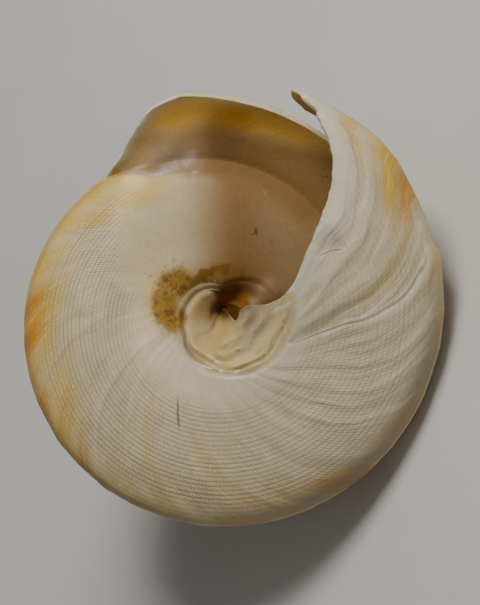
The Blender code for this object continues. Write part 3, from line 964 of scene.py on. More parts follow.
        # painted shade in the hole
        by_axis = 1 - eased(-30.0, -12.0, growth)
        in_pit = (place > 2.3) * (1 - eased(-75.0, -55.0, growth))
        old_pit = np.where(place > 2.85, by_axis, in_pit)
        masks[Mask.DARK] = np.clip(strongest(self.hole, spots) * old_pit, 0, 1)
        return masks

    def parietal_tan(self, spots: Array) -> Array:
        """How brown the wall inside the mouth is: cream to tan across it, the tan partly painted shade."""
        x = spots[..., 0] / MM
        return eased(*self.parietal_edge, x) * (1.0 - 0.3 * eased(7.0, 22.0, x))

    def far_lip(self, place: Array, back: Array, spots: Array) -> Masks:
        """The marks inside the flank: gold by its edge, pearly below, brown where shaded, partly painted
        shade.

        Args:
            place: places on growth lines.
            back: degrees behind the lip.
            spots: points in the growth frame.

        Returns:
            A value for each mask.
        """
        masks = self.blank(spots[..., 0])
        x, y = spots[..., 0] / MM, spots[..., 1] / MM
        by_slit = eased(0.53 - 0.07 * eased(8.0, 26.0, x), 0.56, place) * (place < 0.6) * (back < 64.0)
        edge = np.maximum(1 - eased(*self.rim_edge, back), by_slit * 0.35)
        inner = 1 - edge
        # the brown of the shaded side is partly painted shade
        shaded = eased(*self.shade_edge, x)
        upper = y + 0.25 * x * (x > 0) - 2.2 * eased(-12.0, 0.0, x)
        high = eased(46.3, 52.3, upper)
        near_slit = eased(0.47, 0.55, place) * (back < 64.0)
        by_edge = np.maximum(1 - eased(2.0, 9.0, back), near_slit) * (place < 0.6)
        flame = self.amber.on(spots) * 0.75 + self.corner.on(spots) * 0.8
        masks[Mask.FLAME] = np.clip(flame, 0, 1) * inner
        masks[Mask.YELLOW] = 0.4 * inner + 0.6 * by_slit
        gold = np.clip(0.15 + 0.8 * high - 0.15 * shaded * (1 - high), 0, 1) * inner
        masks[Mask.GOLD] = np.maximum(gold, by_slit * 0.7) * (1 - 0.45 * by_edge)
        left = 0.72 - 0.68 * high
        right = 1.0 - 0.8 * high - 0.1 * eased(8.0, 24.0, x)
        masks[Mask.TAN] = (left * (1 - shaded) + right * shaded) * inner
        masks[Mask.NACRE] = self.pearly.on(spots) * (1 - shaded * 0.8) * inner
        masks[Mask.GLEAM] = strongest(self.gleams, spots) * inner
        masks[Mask.SPECK] = strongest(self.specks, spots) * inner
        masks[Mask.GLAZE] = inner * (0.2 + 0.45 * eased(-20.0, -14.0, x) * (1 - shaded))
        masks[Mask.WHITE] = np.maximum(edge, by_edge * 0.6)
        # painted shade deep inside the mouth
        masks[Mask.DARK] = eased(80.0, 160.0, back) * 0.8
        # painted shade under the far lip
        masks[Mask.SHADE] = strongest(self.under_lip, spots) * inner * 0.75
        # painted light: the finger's inner face lies in shade and is painted pale gold as if lit
        finger = self.finger.on(spots) * (place > 0.69) * (back < 30.0)
        for mask in (Mask.TAN, Mask.FLAME, Mask.NACRE):
            masks[mask] = masks[mask] * (1 - finger)
        masks[Mask.GOLD] = masks[Mask.GOLD] * (1 - finger) + finger * 0.35
        masks[Mask.YELLOW] = np.maximum(masks[Mask.YELLOW], finger * 0.9)
        masks[Mask.WHITE] = np.maximum(masks[Mask.WHITE], finger)
        return masks

    def under_base(self, place: Array, back: Array, spots: Array) -> Masks:
        """The marks inside the base and on the columella.

        Args:
            place: places on growth lines.
            back: degrees behind the lip.
            spots: points in the growth frame.

        Returns:
            A value for each mask.
        """
        masks = self.blank(spots[..., 0])
        edge = 1 - eased(0.0, 2.5, back)
        by_axis = eased(2.4, 2.8, place)
        hole = strongest(self.hole, spots) * by_axis * eased(1.0, 3.5, back)
        masks[Mask.GLAZE] = 1 - edge
        masks[Mask.NACRE] = (1 - edge) * 0.7 * (1 - by_axis)
        masks[Mask.YELLOW] = np.maximum(bump(back, 4.0, 5.0) * 0.6, by_axis * 0.45)
        masks[Mask.WHITE] = edge
        masks[Mask.TAN] = eased(12.0, 60.0, back) * 0.9
        # painted shade in the hole and on the wall down into it
        wall = eased(2.55, 2.85, place) * eased(0.5, 2.5, back)
        masks[Mask.SHADE] = np.maximum(np.clip(hole * 1.7, 0, 1), wall * 0.95)
        # painted shade deep inside the mouth
        masks[Mask.DARK] = eased(60.0, 150.0, back) * 0.8
        return masks

    def old_whorl(self, place: Array, back: Array, spots: Array) -> Masks:
        """The marks on the earlier whorl inside the mouth, and on the nacre in the corner by its rim.

        Args:
            place: places on growth lines.
            back: degrees behind the lip.
            spots: points in the growth frame.

        Returns:
            A value for each mask.
        """
        masks = self.blank(spots[..., 0])
        x, y = spots[..., 0] / MM, spots[..., 1] / MM
        # tan partly painted shade, with painted shade beside the hole
        masks[Mask.TAN] = np.maximum(self.parietal_tan(spots), self.beside_hole.on(spots))
        from_hole = np.hypot(x - 4.0, y - 4.0)
        masks[Mask.GLAZE] = 0.6 * eased(9.0, 16.0, from_hole) * (1 - eased(1.9, 2.2, place))
        by_rim = (1 - eased(1.16, 1.34, place)) * (1 - eased(3.0, 12.0, back))
        masks[Mask.YELLOW] = np.maximum(strongest(self.halo, spots), by_rim)
        ring = bump(place, 2.15, 0.12) * (1 - eased(8.0, 22.0, back))
        masks[Mask.LILAC] = ring * (1 - eased(2.0, 7.0, x))
        # the stain, and painted shade beside the hole
        masks[Mask.SOAK] = strongest(self.soak, spots)
        masks[Mask.SPECK] = strongest(self.specks, spots)
        # painted shade beside the hole
        masks[Mask.SHADE] = self.beside_hole.on(spots) * 0.92
        masks[Mask.GLEAM] = strongest(self.gleams, spots) * (x > 5.0)
        # painted shade in the hole and deep inside the mouth
        hole = strongest(self.hole, spots) * (place > 1.7)
        masks[Mask.DARK] = np.clip(hole + eased(80.0, 160.0, back), 0, 1)
        soft = 0.5 + 3.0 * eased(0.0, 8.0, x)
        nacreous = eased(-1.0, 1.0, (y - Curve(self.nacre_foot).at(x)) / soft) * (place <= SHOULDER)
        corner = self.far_lip(place, back + 3.0, spots)
        return {mask: masks[mask] * (1 - nacreous) + corner[mask] * nacreous for mask in Mask}


@dataclass(frozen=True)
class UmbilicusShift:
    """Moves what lies near the axis aside, since the umbilicus of the shell is not quite round."""

    upper: tuple[float, float] = (3.6 * MM, -0.6 * MM)
    lower: tuple[float, float] = (2.2 * MM, 1.6 * MM)
    reach: tuple[float, float] = (1.5 * MM, 10.0 * MM)
    levels: tuple[float, float] = (50.0 * MM, 66.0 * MM)
    spire_ends: tuple[float, float] = (30.0 * MM, 40.0 * MM)
    filled: Spot = Spot(15.5, 6.0, 3.2, 3.4)
    fill: float = 1.1 * MM
    fill_levels: tuple[float, float] = (62.0 * MM, 70.0 * MM)
    shallow_below: float = 66.0 * MM
    shallow_share: float = 0.42

    def on(self, spots: Array) -> Array:
        """The points after the move.

        Args:
            spots: points in the growth frame.

        Returns:
            Points in the growth frame.
        """
        level = spots[..., 2]
        part = 1 - eased(*self.reach, np.hypot(spots[..., 0], spots[..., 1]))
        part = part * eased(*self.spire_ends, level)
        high = eased(*self.levels, level)
        moved = spots.copy()
        for axis in (0, 1):
            moved[..., axis] += part * (self.lower[axis] + (self.upper[axis] - self.lower[axis]) * high)
        moved[..., 2] += self.shallow_share * part * np.maximum(self.shallow_below - level, 0.0)
        low = eased(*self.spire_ends, level) * (1 - eased(*self.fill_levels, level))
        moved[..., 2] += self.fill * self.filled.on(moved) * low
        return moved


ALL = slice(None)
FIRST = slice(0, 1)
LAST = slice(-1, None)
BACKWARDS = slice(None, None, -1)


@dataclass(frozen=True)
class Patch:
    """A grid of points of the shell, with what is painted on them, and the cords and threads counted."""

    spots: Array
    masks: Masks
    counts: Array

    def then(self, *others: "Patch") -> "Patch":
        """This patch with the rows of others after its own.

        Args:
            others: patches with as many columns.

        Returns:
            One patch.
        """
        every = (self, *others)
        return Patch(
            np.concatenate([one.spots for one in every]),
            {mask: np.concatenate([one.masks[mask] for one in every]) for mask in Mask},
            np.concatenate([one.counts for one in every]),
        )

    def part(self, rows: slice, columns: slice = ALL) -> "Patch":
        """Some rows and columns of the patch."""
        masks = {mask: values[rows, columns] for mask, values in self.masks.items()}
        return Patch(self.spots[rows, columns], masks, self.counts[rows, columns])

    def turned(self) -> "Patch":
        """The patch with its columns as rows."""
        masks = {mask: values.T for mask, values in self.masks.items()}
        return Patch(np.swapaxes(self.spots, 0, 1), masks, np.swapaxes(self.counts, 0, 1))


def strip(first: Patch, last: Patch, shares: Array, lift: Array | float = 0.0) -> Patch:
    """A patch of rows between two rows of the same length.

    Args:
        first: patch of one row, at share 0.
        last: patch of one row, at share 1.
        shares: share of the way for each new row.
        lift: vectors by which the middle of the strip bulges.

    Returns:
        One row for each share.
    """
    way = shares[:, None]
    spots = first.spots * (1 - way[..., None]) + last.spots * way[..., None]
    spots = spots + 4 * (way * (1 - way))[..., None] * lift
    masks = {mask: first.masks[mask] * (1 - way) + last.masks[mask] * way for mask in Mask}
    counts = first.counts * (1 - way[..., None]) + last.counts * way[..., None]
    return Patch(spots, masks, counts)


@dataclass(frozen=True)
class Skin:
    """One face of the wall: above the slit, below it, and along the band between them."""

    above: Patch
    below: Patch
    band: Patch


Marker = Callable[[Array, Array, Array], Masks]
Former = Callable[[Array, Array], Array]


class ShellGrid:
    """Works out every patch of the shell: outside, lip, slit, hollow and tip."""

    STEP = 2.0
    LAST_CORD = 0.435
    CORD_ROWS = 4
    INNER_ROWS = 8
    FLANK_ROWS = 17
    FOOT_ROWS = 10
    PIT_ROWS = 27
    EDGE_ROWS = 5
    RIM_BULGE = 0.3 * MM
    RIM_SHARE = 0.35
    SLIT_WHITE = 0.85
    SLIT_YELLOW = 0.25
    TIP_RISE = 0.8 * MM
    HOLLOW_END = 280.0
    SLIT_BACK = 60.0
    SLIT_SHIFT = 30.0
    SEAM_SHIFT = 300.0

    def __init__(self, surface: ShellSurface, hollow: Hollow, markings: Markings) -> None:
        """Sets out the rows and columns of the grids.

        Args:
            surface: the outer face.
            hollow: the inner face.
            markings: what is painted on them.
        """
        self.surface, self.hollow, self.markings = surface, hollow, markings
        self.shift = UmbilicusShift()
        form = surface.form
        self.start = -360.0 * form.coil.turns
        self.growths = np.arange(self.start, self.STEP / 2, self.STEP)
        self.above_places = np.linspace(0.0, form.slit_top, self.FLANK_ROWS)
        self.below_places = np.linspace(form.slit_foot, RIM, self.FOOT_ROWS)
        self.base_growths = np.arange(-self.SEAM_SHIFT, self.STEP / 2, self.STEP)
        self.base_places = self.places_of_base()
        self.pit_places = np.linspace(SHOULDER, AXIS, self.PIT_ROWS)

    def places_of_base(self) -> Array:
        """Places of the base's grid: four rows to each cord, then rows to the umbilical shoulder.

        Returns:
            Places for each row and column.
        """
        form, sculpture = self.surface.form, self.surface.sculpture
        count = int((sculpture.first_share - self.LAST_CORD) / sculpture.pitch * self.CORD_ROWS) + 1
        shares = sculpture.first_share - np.arange(count) * sculpture.pitch / self.CORD_ROWS
        on_cords = form.place_on_base(shares[:, None], self.base_growths[None, :])
        last = on_cords[-1:]
        way = np.arange(1, self.INNER_ROWS + 1) / self.INNER_ROWS
        inner = last + (SHOULDER - last) * way[:, None]
        return np.concatenate([np.ones_like(last), on_cords, inner])

    def outside(self, place: Array, growth: Array) -> Patch:
        """A patch of the outer face.

        Args:
            place: places on growth lines.
            growth: growth at each.

        Returns:
            The patch.
        """
        place, growth = np.broadcast_arrays(place, growth)
        form, sculpture = self.surface.form, self.surface.sculpture
        spots = self.shift.on(self.surface.raised(place, growth))
        phi = form.angle(place, growth)
        distance, _ = form.outline(place, phi)
        share = distance / form.coil.rim(phi)
        masks = self.markings.outside(place, growth, share, phi, spots)
        counts = np.stack([sculpture.cords(place, share), growth / sculpture.thread_step], axis=-1)
        return Patch(spots, masks, counts)

    def inner(self, marks: Marker, shape: Former, place: Array, back: Array) -> Patch:
        """A patch of the inner face.

        Args:
            marks: what paints it.
            shape: what gives its points.
            place: places on growth lines.
            back: degrees behind the lip.

        Returns:
            The patch.
        """
        place, back = np.broadcast_arrays(place, back)
        spots = self.shift.on(shape(place, back))
        sculpture = self.surface.sculpture
        counts = np.stack([place * sculpture.flank_cords, -back / sculpture.thread_step], axis=-1)
        return Patch(spots, marks(place, back, spots), counts)

    def band_lines(self, growths: Array) -> tuple[Array, Array]:
        """Places and growths across the band that the slit leaves behind as the shell grows.

        Args:
            growths: growths along the slit's upper side.

        Returns:
            Places and growths of a grid.
        """
        form = self.surface.form
        way = np.linspace(0.0, 1.0, self.EDGE_ROWS)[:, None]
        place = form.slit_top + (form.slit_foot - form.slit_top) * way
        return place + 0.0 * growths[None, :], growths[None, :] + self.SLIT_SHIFT * way

    def patches(self) -> list[Patch]:
        """All patches of the closed shell.

        Returns:
            Patches that meet along their edges.
        """
        above = self.outside(self.above_places[:, None], self.growths[None, :])
        below_growths = self.growths[self.growths >= self.start + self.SLIT_SHIFT]
        below = self.outside(self.below_places[:, None], below_growths[None, :])
        band = self.outside(*self.band_lines(self.growths[self.growths <= -self.SLIT_BACK]))
        outer = Skin(above, below, band)
        base = self.outside(self.base_places, self.base_growths[None, :])
        pit = self.outside(self.pit_places[:, None], self.base_growths[None, :])
        brink = pit.part(LAST)
        closing = self.shaded(strip(brink, self.at_pit(brink), np.linspace(0, 1, self.EDGE_ROWS)))
        inner = self.hollow_skin()
        found = [above, below, band, base, pit, closing, self.tip(outer)]
        found += [inner.above, inner.below, inner.band, self.hollow_end(inner)]
        return found + self.edges(outer, inner, (base, pit, closing))

    def shaded(self, patch: Patch) -> Patch:
        """The patch with the shade of the hole laid over it."""
        # painted shade of the hole
        shade = np.clip(strongest(self.markings.hole, patch.spots), 0, 1)
        return Patch(patch.spots, {**patch.masks, Mask.SHADE: shade}, patch.counts)

    def at_pit(self, like: Patch) -> Patch:
        """A row whose points all lie at the bottom of the pit."""
        pit = self.shift.on(np.array(self.hollow.pit))
        return Patch(np.broadcast_to(pit, like.spots.shape), like.masks, like.counts)

    def tip(self, outer: Skin) -> Patch:
        """Closes the first growth lines with a low dome, the tip of the spire.

        Args:
            outer: the outer face.

        Returns:
            The dome.
        """
        free = int(round((self.SEAM_SHIFT + self.SLIT_SHIFT) / self.STEP))
        loop = outer.above.part(FIRST, slice(0, free + 1)).turned().then(
            outer.below.part(BACKWARDS, FIRST).part(slice(1, None)),
            outer.band.part(BACKWARDS, FIRST).part(slice(1, -1)),
            outer.above.part(BACKWARDS, FIRST),
        ).turned()
        return self.fan(loop, np.array([0.0, 0.0, -self.TIP_RISE]))

    def fan(self, loop: Patch, rise: Array | float = 0.0) -> Patch:
        """Closes a loop of points towards its middle, which may be moved."""
        middle = np.broadcast_to(loop.spots.mean(axis=1, keepdims=True) + rise, loop.spots.shape)
        return strip(loop, Patch(middle, loop.masks, loop.counts), np.array([0.0, 0.5, 1.0]))

    def hollow_skin(self) -> Skin:
        """The inner face. Below the slit it goes on over base, columella and old whorl.

        Returns:
            The inner face, with as many rows and columns as the outer one needs.
        """
        hollow, marks = self.hollow, self.markings
        back = np.arange(0.0, self.HOLLOW_END + self.STEP / 2, self.STEP)[None, :]
        above = self.inner(marks.far_lip, hollow.under_flank, self.above_places[:, None], back)
        back = back[:, : int(round((self.HOLLOW_END - self.SLIT_SHIFT) / self.STEP)) + 1]
        flank = self.inner(marks.far_lip, hollow.under_flank, self.below_places[:-1, None], back)
        lines = np.concatenate([self.base_places[:, -1], self.pit_places[1:]])
        base = self.inner(marks.under_base, hollow.under_base, lines[:, None], back)
        core = self.inner(marks.under_base, hollow.core, np.array([[AXIS]]), back)
        lines = np.concatenate([self.base_places[1:, 0], self.pit_places[1:]])[::-1]
        old = self.inner(marks.old_whorl, hollow.on_old_whorl, lines[:, None], back)
        between = np.linspace(0.0, 1.0, self.EDGE_ROWS)[1:-1]
        to_core = strip(base.part(LAST), core, between)
        from_core = strip(core, old.part(FIRST), between)
        seam = above.part(FIRST, slice(0, back.shape[1]))
        below = flank.then(base, to_core, core, from_core, old, seam)
        band_back = np.arange(self.SLIT_BACK, self.HOLLOW_END + self.STEP / 2, self.STEP)
        place, growth = self.band_lines(-band_back)
        return Skin(above, below, self.inner(marks.far_lip, hollow.under_flank, place, -growth))

    def hollow_end(self, inner: Skin) -> Patch:
        """Closes the inner face deep inside.

        Args:
            inner: the inner face.

        Returns:
            The closing patch.
        """
        seam = inner.above.part(FIRST, slice(inner.below.spots.shape[1], None)).turned()
        loop = inner.above.part(ALL, LAST).then(
            inner.band.part(slice(1, -1), LAST), inner.below.part(ALL, LAST), seam
        ).turned()
        return self.fan(loop)

    def edges(self, outer: Skin, inner: Skin, base: Sequence[Patch]) -> list[Patch]:
        """The edge of the lip, and the walls of the slit.

        Args:
            outer: the outer face.
            inner: the inner face.
            base: the outer face's patches from the rim to the bottom of the pit.

        Returns:
            The patches between the two faces.
        """
        shares = np.linspace(0.0, 1.0, self.EDGE_ROWS)
        inwards = [patch.part(slice(1, None), LAST) for patch in base]
        rim = outer.below.part(ALL, LAST).then(*inwards).turned()
        within = inner.below.part(slice(0, rim.spots.shape[1]), FIRST).turned()
        near = self.edge(rim, within, shares)
        ends = outer.above.part(ALL, LAST).turned(), inner.above.part(ALL, FIRST).turned()
        far = self.edge(*ends, shares)
        long = int(self.SLIT_BACK / self.STEP)
        short = int((self.SLIT_BACK - self.SLIT_SHIFT) / self.STEP)
        corner = far.part(ALL, LAST)
        top = self.slit_side(outer.above.part(LAST), inner.above.part(LAST), corner, long, shares)
        corner = near.part(ALL, FIRST)
        foot = self.slit_side(outer.below.part(FIRST), inner.below.part(FIRST), corner, short, shares)
        end = strip(outer.band.part(ALL, LAST).turned(), inner.band.part(ALL, FIRST).turned(), shares)
        return [near, far, top, foot, end]

    def edge(self, outer: Patch, inner: Patch, shares: Array) -> Patch:
        """The rounded edge of the lip between its outer and its inner line.

        Args:
            outer: a patch of one row.
            inner: another.
            shares: rows between them.

        Returns:
            The patch between them.
        """
        places = outer.spots
        axis = np.zeros_like(places)
        axis[..., 2] = 1.0
        ahead = np.cross(axis, places)
        ahead = ahead / np.maximum(np.linalg.norm(ahead, axis=-1, keepdims=True), 1e-9)
        thick = np.linalg.norm(places - inner.spots, axis=-1, keepdims=True)
        return strip(outer, inner, shares, ahead * np.minimum(self.RIM_BULGE, self.RIM_SHARE * thick))

    def slit_side(self, outer: Patch, inner: Patch, corner: Patch, steps: int, shares: Array) -> Patch:
        """One side of the slit, from the lip's edge to its closed end.

        Args:
            outer: the outer line of the side.
            inner: its inner line.
            corner: its column at the lip.
            steps: its length.
            shares: rows between the lines.

        Returns:
            The patch between the lines.
        """
        outer = outer.part(ALL, slice(None, -steps - 2, -1))
        wall = strip(outer, inner.part(ALL, slice(0, steps + 1)), shares)
        spots = wall.spots.copy()
        spots[:, :1] = corner.spots
        # the slit's walls are painted pale: partly their own pale edge, partly painted light on faces in
        # shade
        masks = {mask: values * 0.0 for mask, values in wall.masks.items()}
        masks[Mask.WHITE] = masks[Mask.WHITE] + self.SLIT_WHITE
        masks[Mask.YELLOW] = masks[Mask.YELLOW] + self.SLIT_YELLOW
        return Patch(spots, masks, wall.counts)


class ShellMesh:
    """Makes the closed mesh of the shell from its patches."""

    WELD = 0.004 * MM
    SHARP = math.radians(55.0)

    def __init__(self) -> None:
        """Starts an empty mesh with a layer for each mask and a map of cords and threads."""
        self.mesh = bmesh.new()
        self.net = self.mesh.loops.layers.uv.new("counts")
        self.layers = {mask: self.mesh.verts.layers.float.new(mask.value) for mask in Mask}

    def add(self, patch: Patch) -> None:
        """Adds a grid and moves its points to those of the patch.

        Args:
            patch: points, masks and counts of the grid.
        """
        rows, columns = patch.spots.shape[:2]
        made = bmesh.ops.create_grid(self.mesh, x_segments=columns - 1, y_segments=rows - 1, size=1.0)
        places = {}
        for vert in made["verts"]:
            column = int(round((vert.co.x + 1.0) / 2.0 * (columns - 1)))
            row = int(round((vert.co.y + 1.0) / 2.0 * (rows - 1)))
            places[vert] = (row, column)
        for vert, place in places.items():
            vert.co = patch.spots[place]
            for mask, layer in self.layers.items():
                vert[layer] = patch.masks[mask][place]
        for face in {face for vert in made["verts"] for face in vert.link_faces}:
            for loop in face.loops:
                loop[self.net].uv = patch.counts[places[loop.vert]]

    def finish(self, name: str, turn: Matrix) -> bpy.types.Object:
        """Welds the patches, lays the shell down and gives it as an object.

        Args:
            name: the object's name.
            turn: where the shell lies.

        Returns:
            The object.
        """
        bmesh.ops.remove_doubles(self.mesh, verts=self.mesh.verts, dist=self.WELD)
        bmesh.ops.recalc_face_normals(self.mesh, faces=self.mesh.faces)
        bmesh.ops.transform(self.mesh, matrix=turn, verts=self.mesh.verts)
        for face in self.mesh.faces:
            face.smooth = True
        for edge in self.mesh.edges:
            if len(edge.link_faces) == 2:
                edge.smooth = edge.calc_face_angle() < self.SHARP
        loose = sum(1 for edge in self.mesh.edges if len(edge.link_faces) != 2)
        LOG.info("%d faces, %d edges without two faces", len(self.mesh.faces), loose)
        data = bpy.data.meshes.new(name)
        self.mesh.to_mesh(data)
        self.mesh.free()
        return bpy.data.objects.new(name, data)


Colour = tuple[float, float, float]
Value = float | Socket
Tint = Colour | Socket


class NodeSheet:
    """Places nodes on a node tree and links them."""

    def __init__(self, tree: bpy.types.NodeTree) -> None:
        """Works on this tree."""
        self.tree = tree

    def put(self, kind: str, inputs: dict[str | int, object], **settings: object) -> bpy.types.Node:
        """Adds a node.

        Args:
            kind: the node's type.
            inputs: a number, colour or socket for each named or numbered input.
            settings: the node's other settings.

        Returns:
            The node.
        """
        node = self.tree.nodes.new(kind)
        node.location = (-220.0 * (len(self.tree.nodes) % 12), -260.0 * (len(self.tree.nodes) // 12))
        for name, value in settings.items():
            setattr(node, name, value)
        for key, value in inputs.items():
            if isinstance(value, Socket):
                self.tree.links.new(value, node.inputs[key])
            elif isinstance(value, tuple) and len(value) == 3 and node.inputs[key].type == "RGBA":
                node.inputs[key].default_value = (*value, 1.0)
            else:
                node.inputs[key].default_value = value
        return node

    def maths(self, operation: str, *values: Value) -> Socket:
        """A sum, product or other number made of others."""
        return self.put("ShaderNodeMath", dict(enumerate(values)), operation=operation).outputs[0]

    def times(self, first: Value, *others: Value) -> Socket:
        """The product of numbers."""
        return reduce(lambda product, other: self.maths("MULTIPLY", product, other), others, first)

    def scaled(self, value: Value, factor: Value, plus: Value) -> Socket:
        """A number times a factor, plus another."""
        return self.maths("MULTIPLY_ADD", value, factor, plus)

    def less(self, value: Value) -> Socket:
        """What a number lacks to be 1."""
        return self.maths("SUBTRACT", 1.0, value)

    def mixed(self, share: Value, first: Tint, second: Tint, blend: str = "MIX") -> Socket:
        """One colour over another."""
        inputs = {0: share, 6: first, 7: second}
        return self.put("ShaderNodeMix", inputs, data_type="RGBA", blend_type=blend).outputs[2]

    def between(self, share: Value, first: Value, second: Value) -> Socket:
        """A number between two others."""
        return self.put("ShaderNodeMix", {0: share, 2: first, 3: second}, data_type="FLOAT").outputs[0]

    def stepped(self, value: Value, low: float, high: float) -> Socket:
        """A smooth step of a number from 0 at low to 1 at high."""
        inputs = {0: value, 1: low, 2: high, 3: 0.0, 4: 1.0}
        return self.put("ShaderNodeMapRange", inputs, interpolation_type="SMOOTHSTEP").outputs[0]

    def noise(self, where: Socket, scale: Value, detail: float = 3.0, rough: float = 0.55,
              distortion: float = 0.0) -> Socket:
        """Cloudy numbers round a half, with finer noises of this roughness added, and warped."""
        inputs = dict(Vector=where, Scale=scale, Detail=detail, Roughness=rough, Distortion=distortion)
        return self.put("ShaderNodeTexNoise", inputs).outputs[0]

    def stretched(self, where: Socket, scale: Colour) -> Socket:
        """Coordinates scaled along each axis."""
        inputs = {"Vector": where, "Scale": scale}
        return self.put("ShaderNodeMapping", inputs).outputs[0]

    def painted(self, mask: Mask) -> Socket:
        """The numbers of one of the shell's masks."""
        return self.put("ShaderNodeAttribute", {}, attribute_name=mask.value).outputs["Fac"]

    def broken(self, mask: Mask, noise: Socket) -> Socket:
        """One of the shell's masks, with its edge broken up by a noise."""
        held = self.times(self.scaled(noise, 1.1, -0.55), self.stepped(self.painted(mask), 0.0, 0.35))
        return self.stepped(self.maths("ADD", self.painted(mask), held), 0.05, 0.95)


class SurfaceGroup:
    """A shader node group with named inputs and outputs, built once. A vector input has no number."""

    name = ""
    takes: dict[str, float | None] = {}
    gives: tuple[str, ...] = ()

    def __init__(self) -> None:
        """Builds the group's tree."""
        self.tree = bpy.data.node_groups.new(self.name, "ShaderNodeTree")
        for name, value in self.takes.items():
            kind = "NodeSocketVector" if value is None else "NodeSocketFloat"
            socket = self.tree.interface.new_socket(name, in_out="INPUT", socket_type=kind)
            if value is not None:
                socket.default_value = value
        for name in self.gives:
            self.tree.interface.new_socket(name, in_out="OUTPUT", socket_type="NodeSocketFloat")
        sheet = NodeSheet(self.tree)
        start = self.tree.nodes.new("NodeGroupInput").outputs
        end = self.tree.nodes.new("NodeGroupOutput").inputs
        for name, socket in zip(self.gives, self.draw(sheet, start)):
            self.tree.links.new(socket, end[name])

    def draw(self, sheet: NodeSheet, start: Sockets) -> Sequence[Socket]:
        """Draws the effect, and gives a socket for each output."""
        raise NotImplementedError

    def place(self, sheet: NodeSheet, **inputs: object) -> Sockets:
        """Places the group in a material, with its inputs, and gives its outputs."""
        return sheet.put("ShaderNodeGroup", inputs, node_tree=self.tree).outputs


class Mottle(SurfaceGroup):
    """Broad and fine cloudiness."""

    name = "mottle"
    takes = {"Where": None, "Broad": 90.0, "Fine": 700.0}
    gives = ("Clouds", "Grain")

    def draw(self, sheet: NodeSheet, start: Sockets) -> Sequence[Socket]:
        """Two noises of different size."""
        clouds = sheet.stepped(sheet.noise(start["Where"], start["Broad"], 4.0, 0.6, 0.4), 0.32, 0.68)
        return clouds, sheet.noise(start["Where"], start["Fine"], 3.0, 0.7)


class Netting(SurfaceGroup):
    """The fine threads across the cords: height in metres, painted shade in grooves, painted highlights on
    beads.
    """

    name = "netting"
    takes = {"Counts": None, "Net": 1.0, "Thread Height": 0.00004, "Groove Depth": 0.00007}
    gives = ("Height", "Grooves", "Beads")

    def draw(self, sheet: NodeSheet, start: Sockets) -> Sequence[Socket]:
        """Waves along the growth lines, and their product with the cords.

        Args:
            sheet: the sheet to draw on.
            start: its inputs.

        Returns:
            A socket for each output.
        """
        counts, net = start["Counts"], start["Net"]
        parts = sheet.put("ShaderNodeSeparateXYZ", {0: counts}).outputs
        wobble = sheet.noise(sheet.stretched(counts, (0.25, 0.7, 1.0)), 1.0, 2.0)
        threads = sheet.maths("ADD", parts[1], sheet.times(wobble, 0.9))
        wave = sheet.scaled(sheet.maths("COSINE", sheet.times(threads, math.tau)), 0.5, 0.5)
        uneven = sheet.noise(counts, 0.3, 3.0, 0.6)
        lines = sheet.times(wave, sheet.stepped(uneven, 0.3, 0.62))
        height = sheet.times(lines, start["Thread Height"], net)
        drift = sheet.scaled(sheet.noise(counts, 0.2, 2.0), 0.3, -0.15)
        shifted = sheet.maths("ADD", drift, parts[0])
        cords = sheet.maths("COSINE", sheet.times(shifted, math.tau))
        between_cords = sheet.maths("POWER", sheet.scaled(cords, -0.5, 0.5), 4.0)
        between_threads = sheet.maths("POWER", sheet.less(wave), 3.0)
        each = sheet.stepped(sheet.noise(sheet.stretched(counts, (0.85, 0.02, 1.0)), 1.0, 1.0), 0.25, 0.65)
        between_cords = sheet.times(between_cords, sheet.scaled(each, 0.65, 0.35))
        low = sheet.maths("MAXIMUM", between_cords, sheet.times(between_threads, 0.62))
        height = sheet.maths("SUBTRACT", height, sheet.times(low, start["Groove Depth"], net))
        patchy = sheet.stepped(sheet.noise(counts, 0.1, 5.0, 0.7), 0.3, 0.58)
        grooves = sheet.times(low, sheet.scaled(patchy, 0.5, 0.5), net)
        beads = sheet.maths("POWER", sheet.times(sheet.scaled(cords, 0.5, 0.5), wave), 1.6)
        bright = sheet.stepped(sheet.noise(counts, 1.1, 2.0), 0.5, 0.68)
        return height, grooves, sheet.times(beads, bright, net)


@dataclass(frozen=True)
class Pause:
    """A line where growth paused or the shell broke: its growth, its reach, its drop, and its marking.

    The reach is given in cords counted from the rim. The lean is what is added to the growth 25 cords in.
    The line itself is painted shadow, and a pale band of painted light may lie beside it on the older side.
    """

    growth: float
    outer: float
    inner: float
    drop: float
    dark: float
    lean: float = 0.0
    half: float = 0.6
    pale: float = 0.0


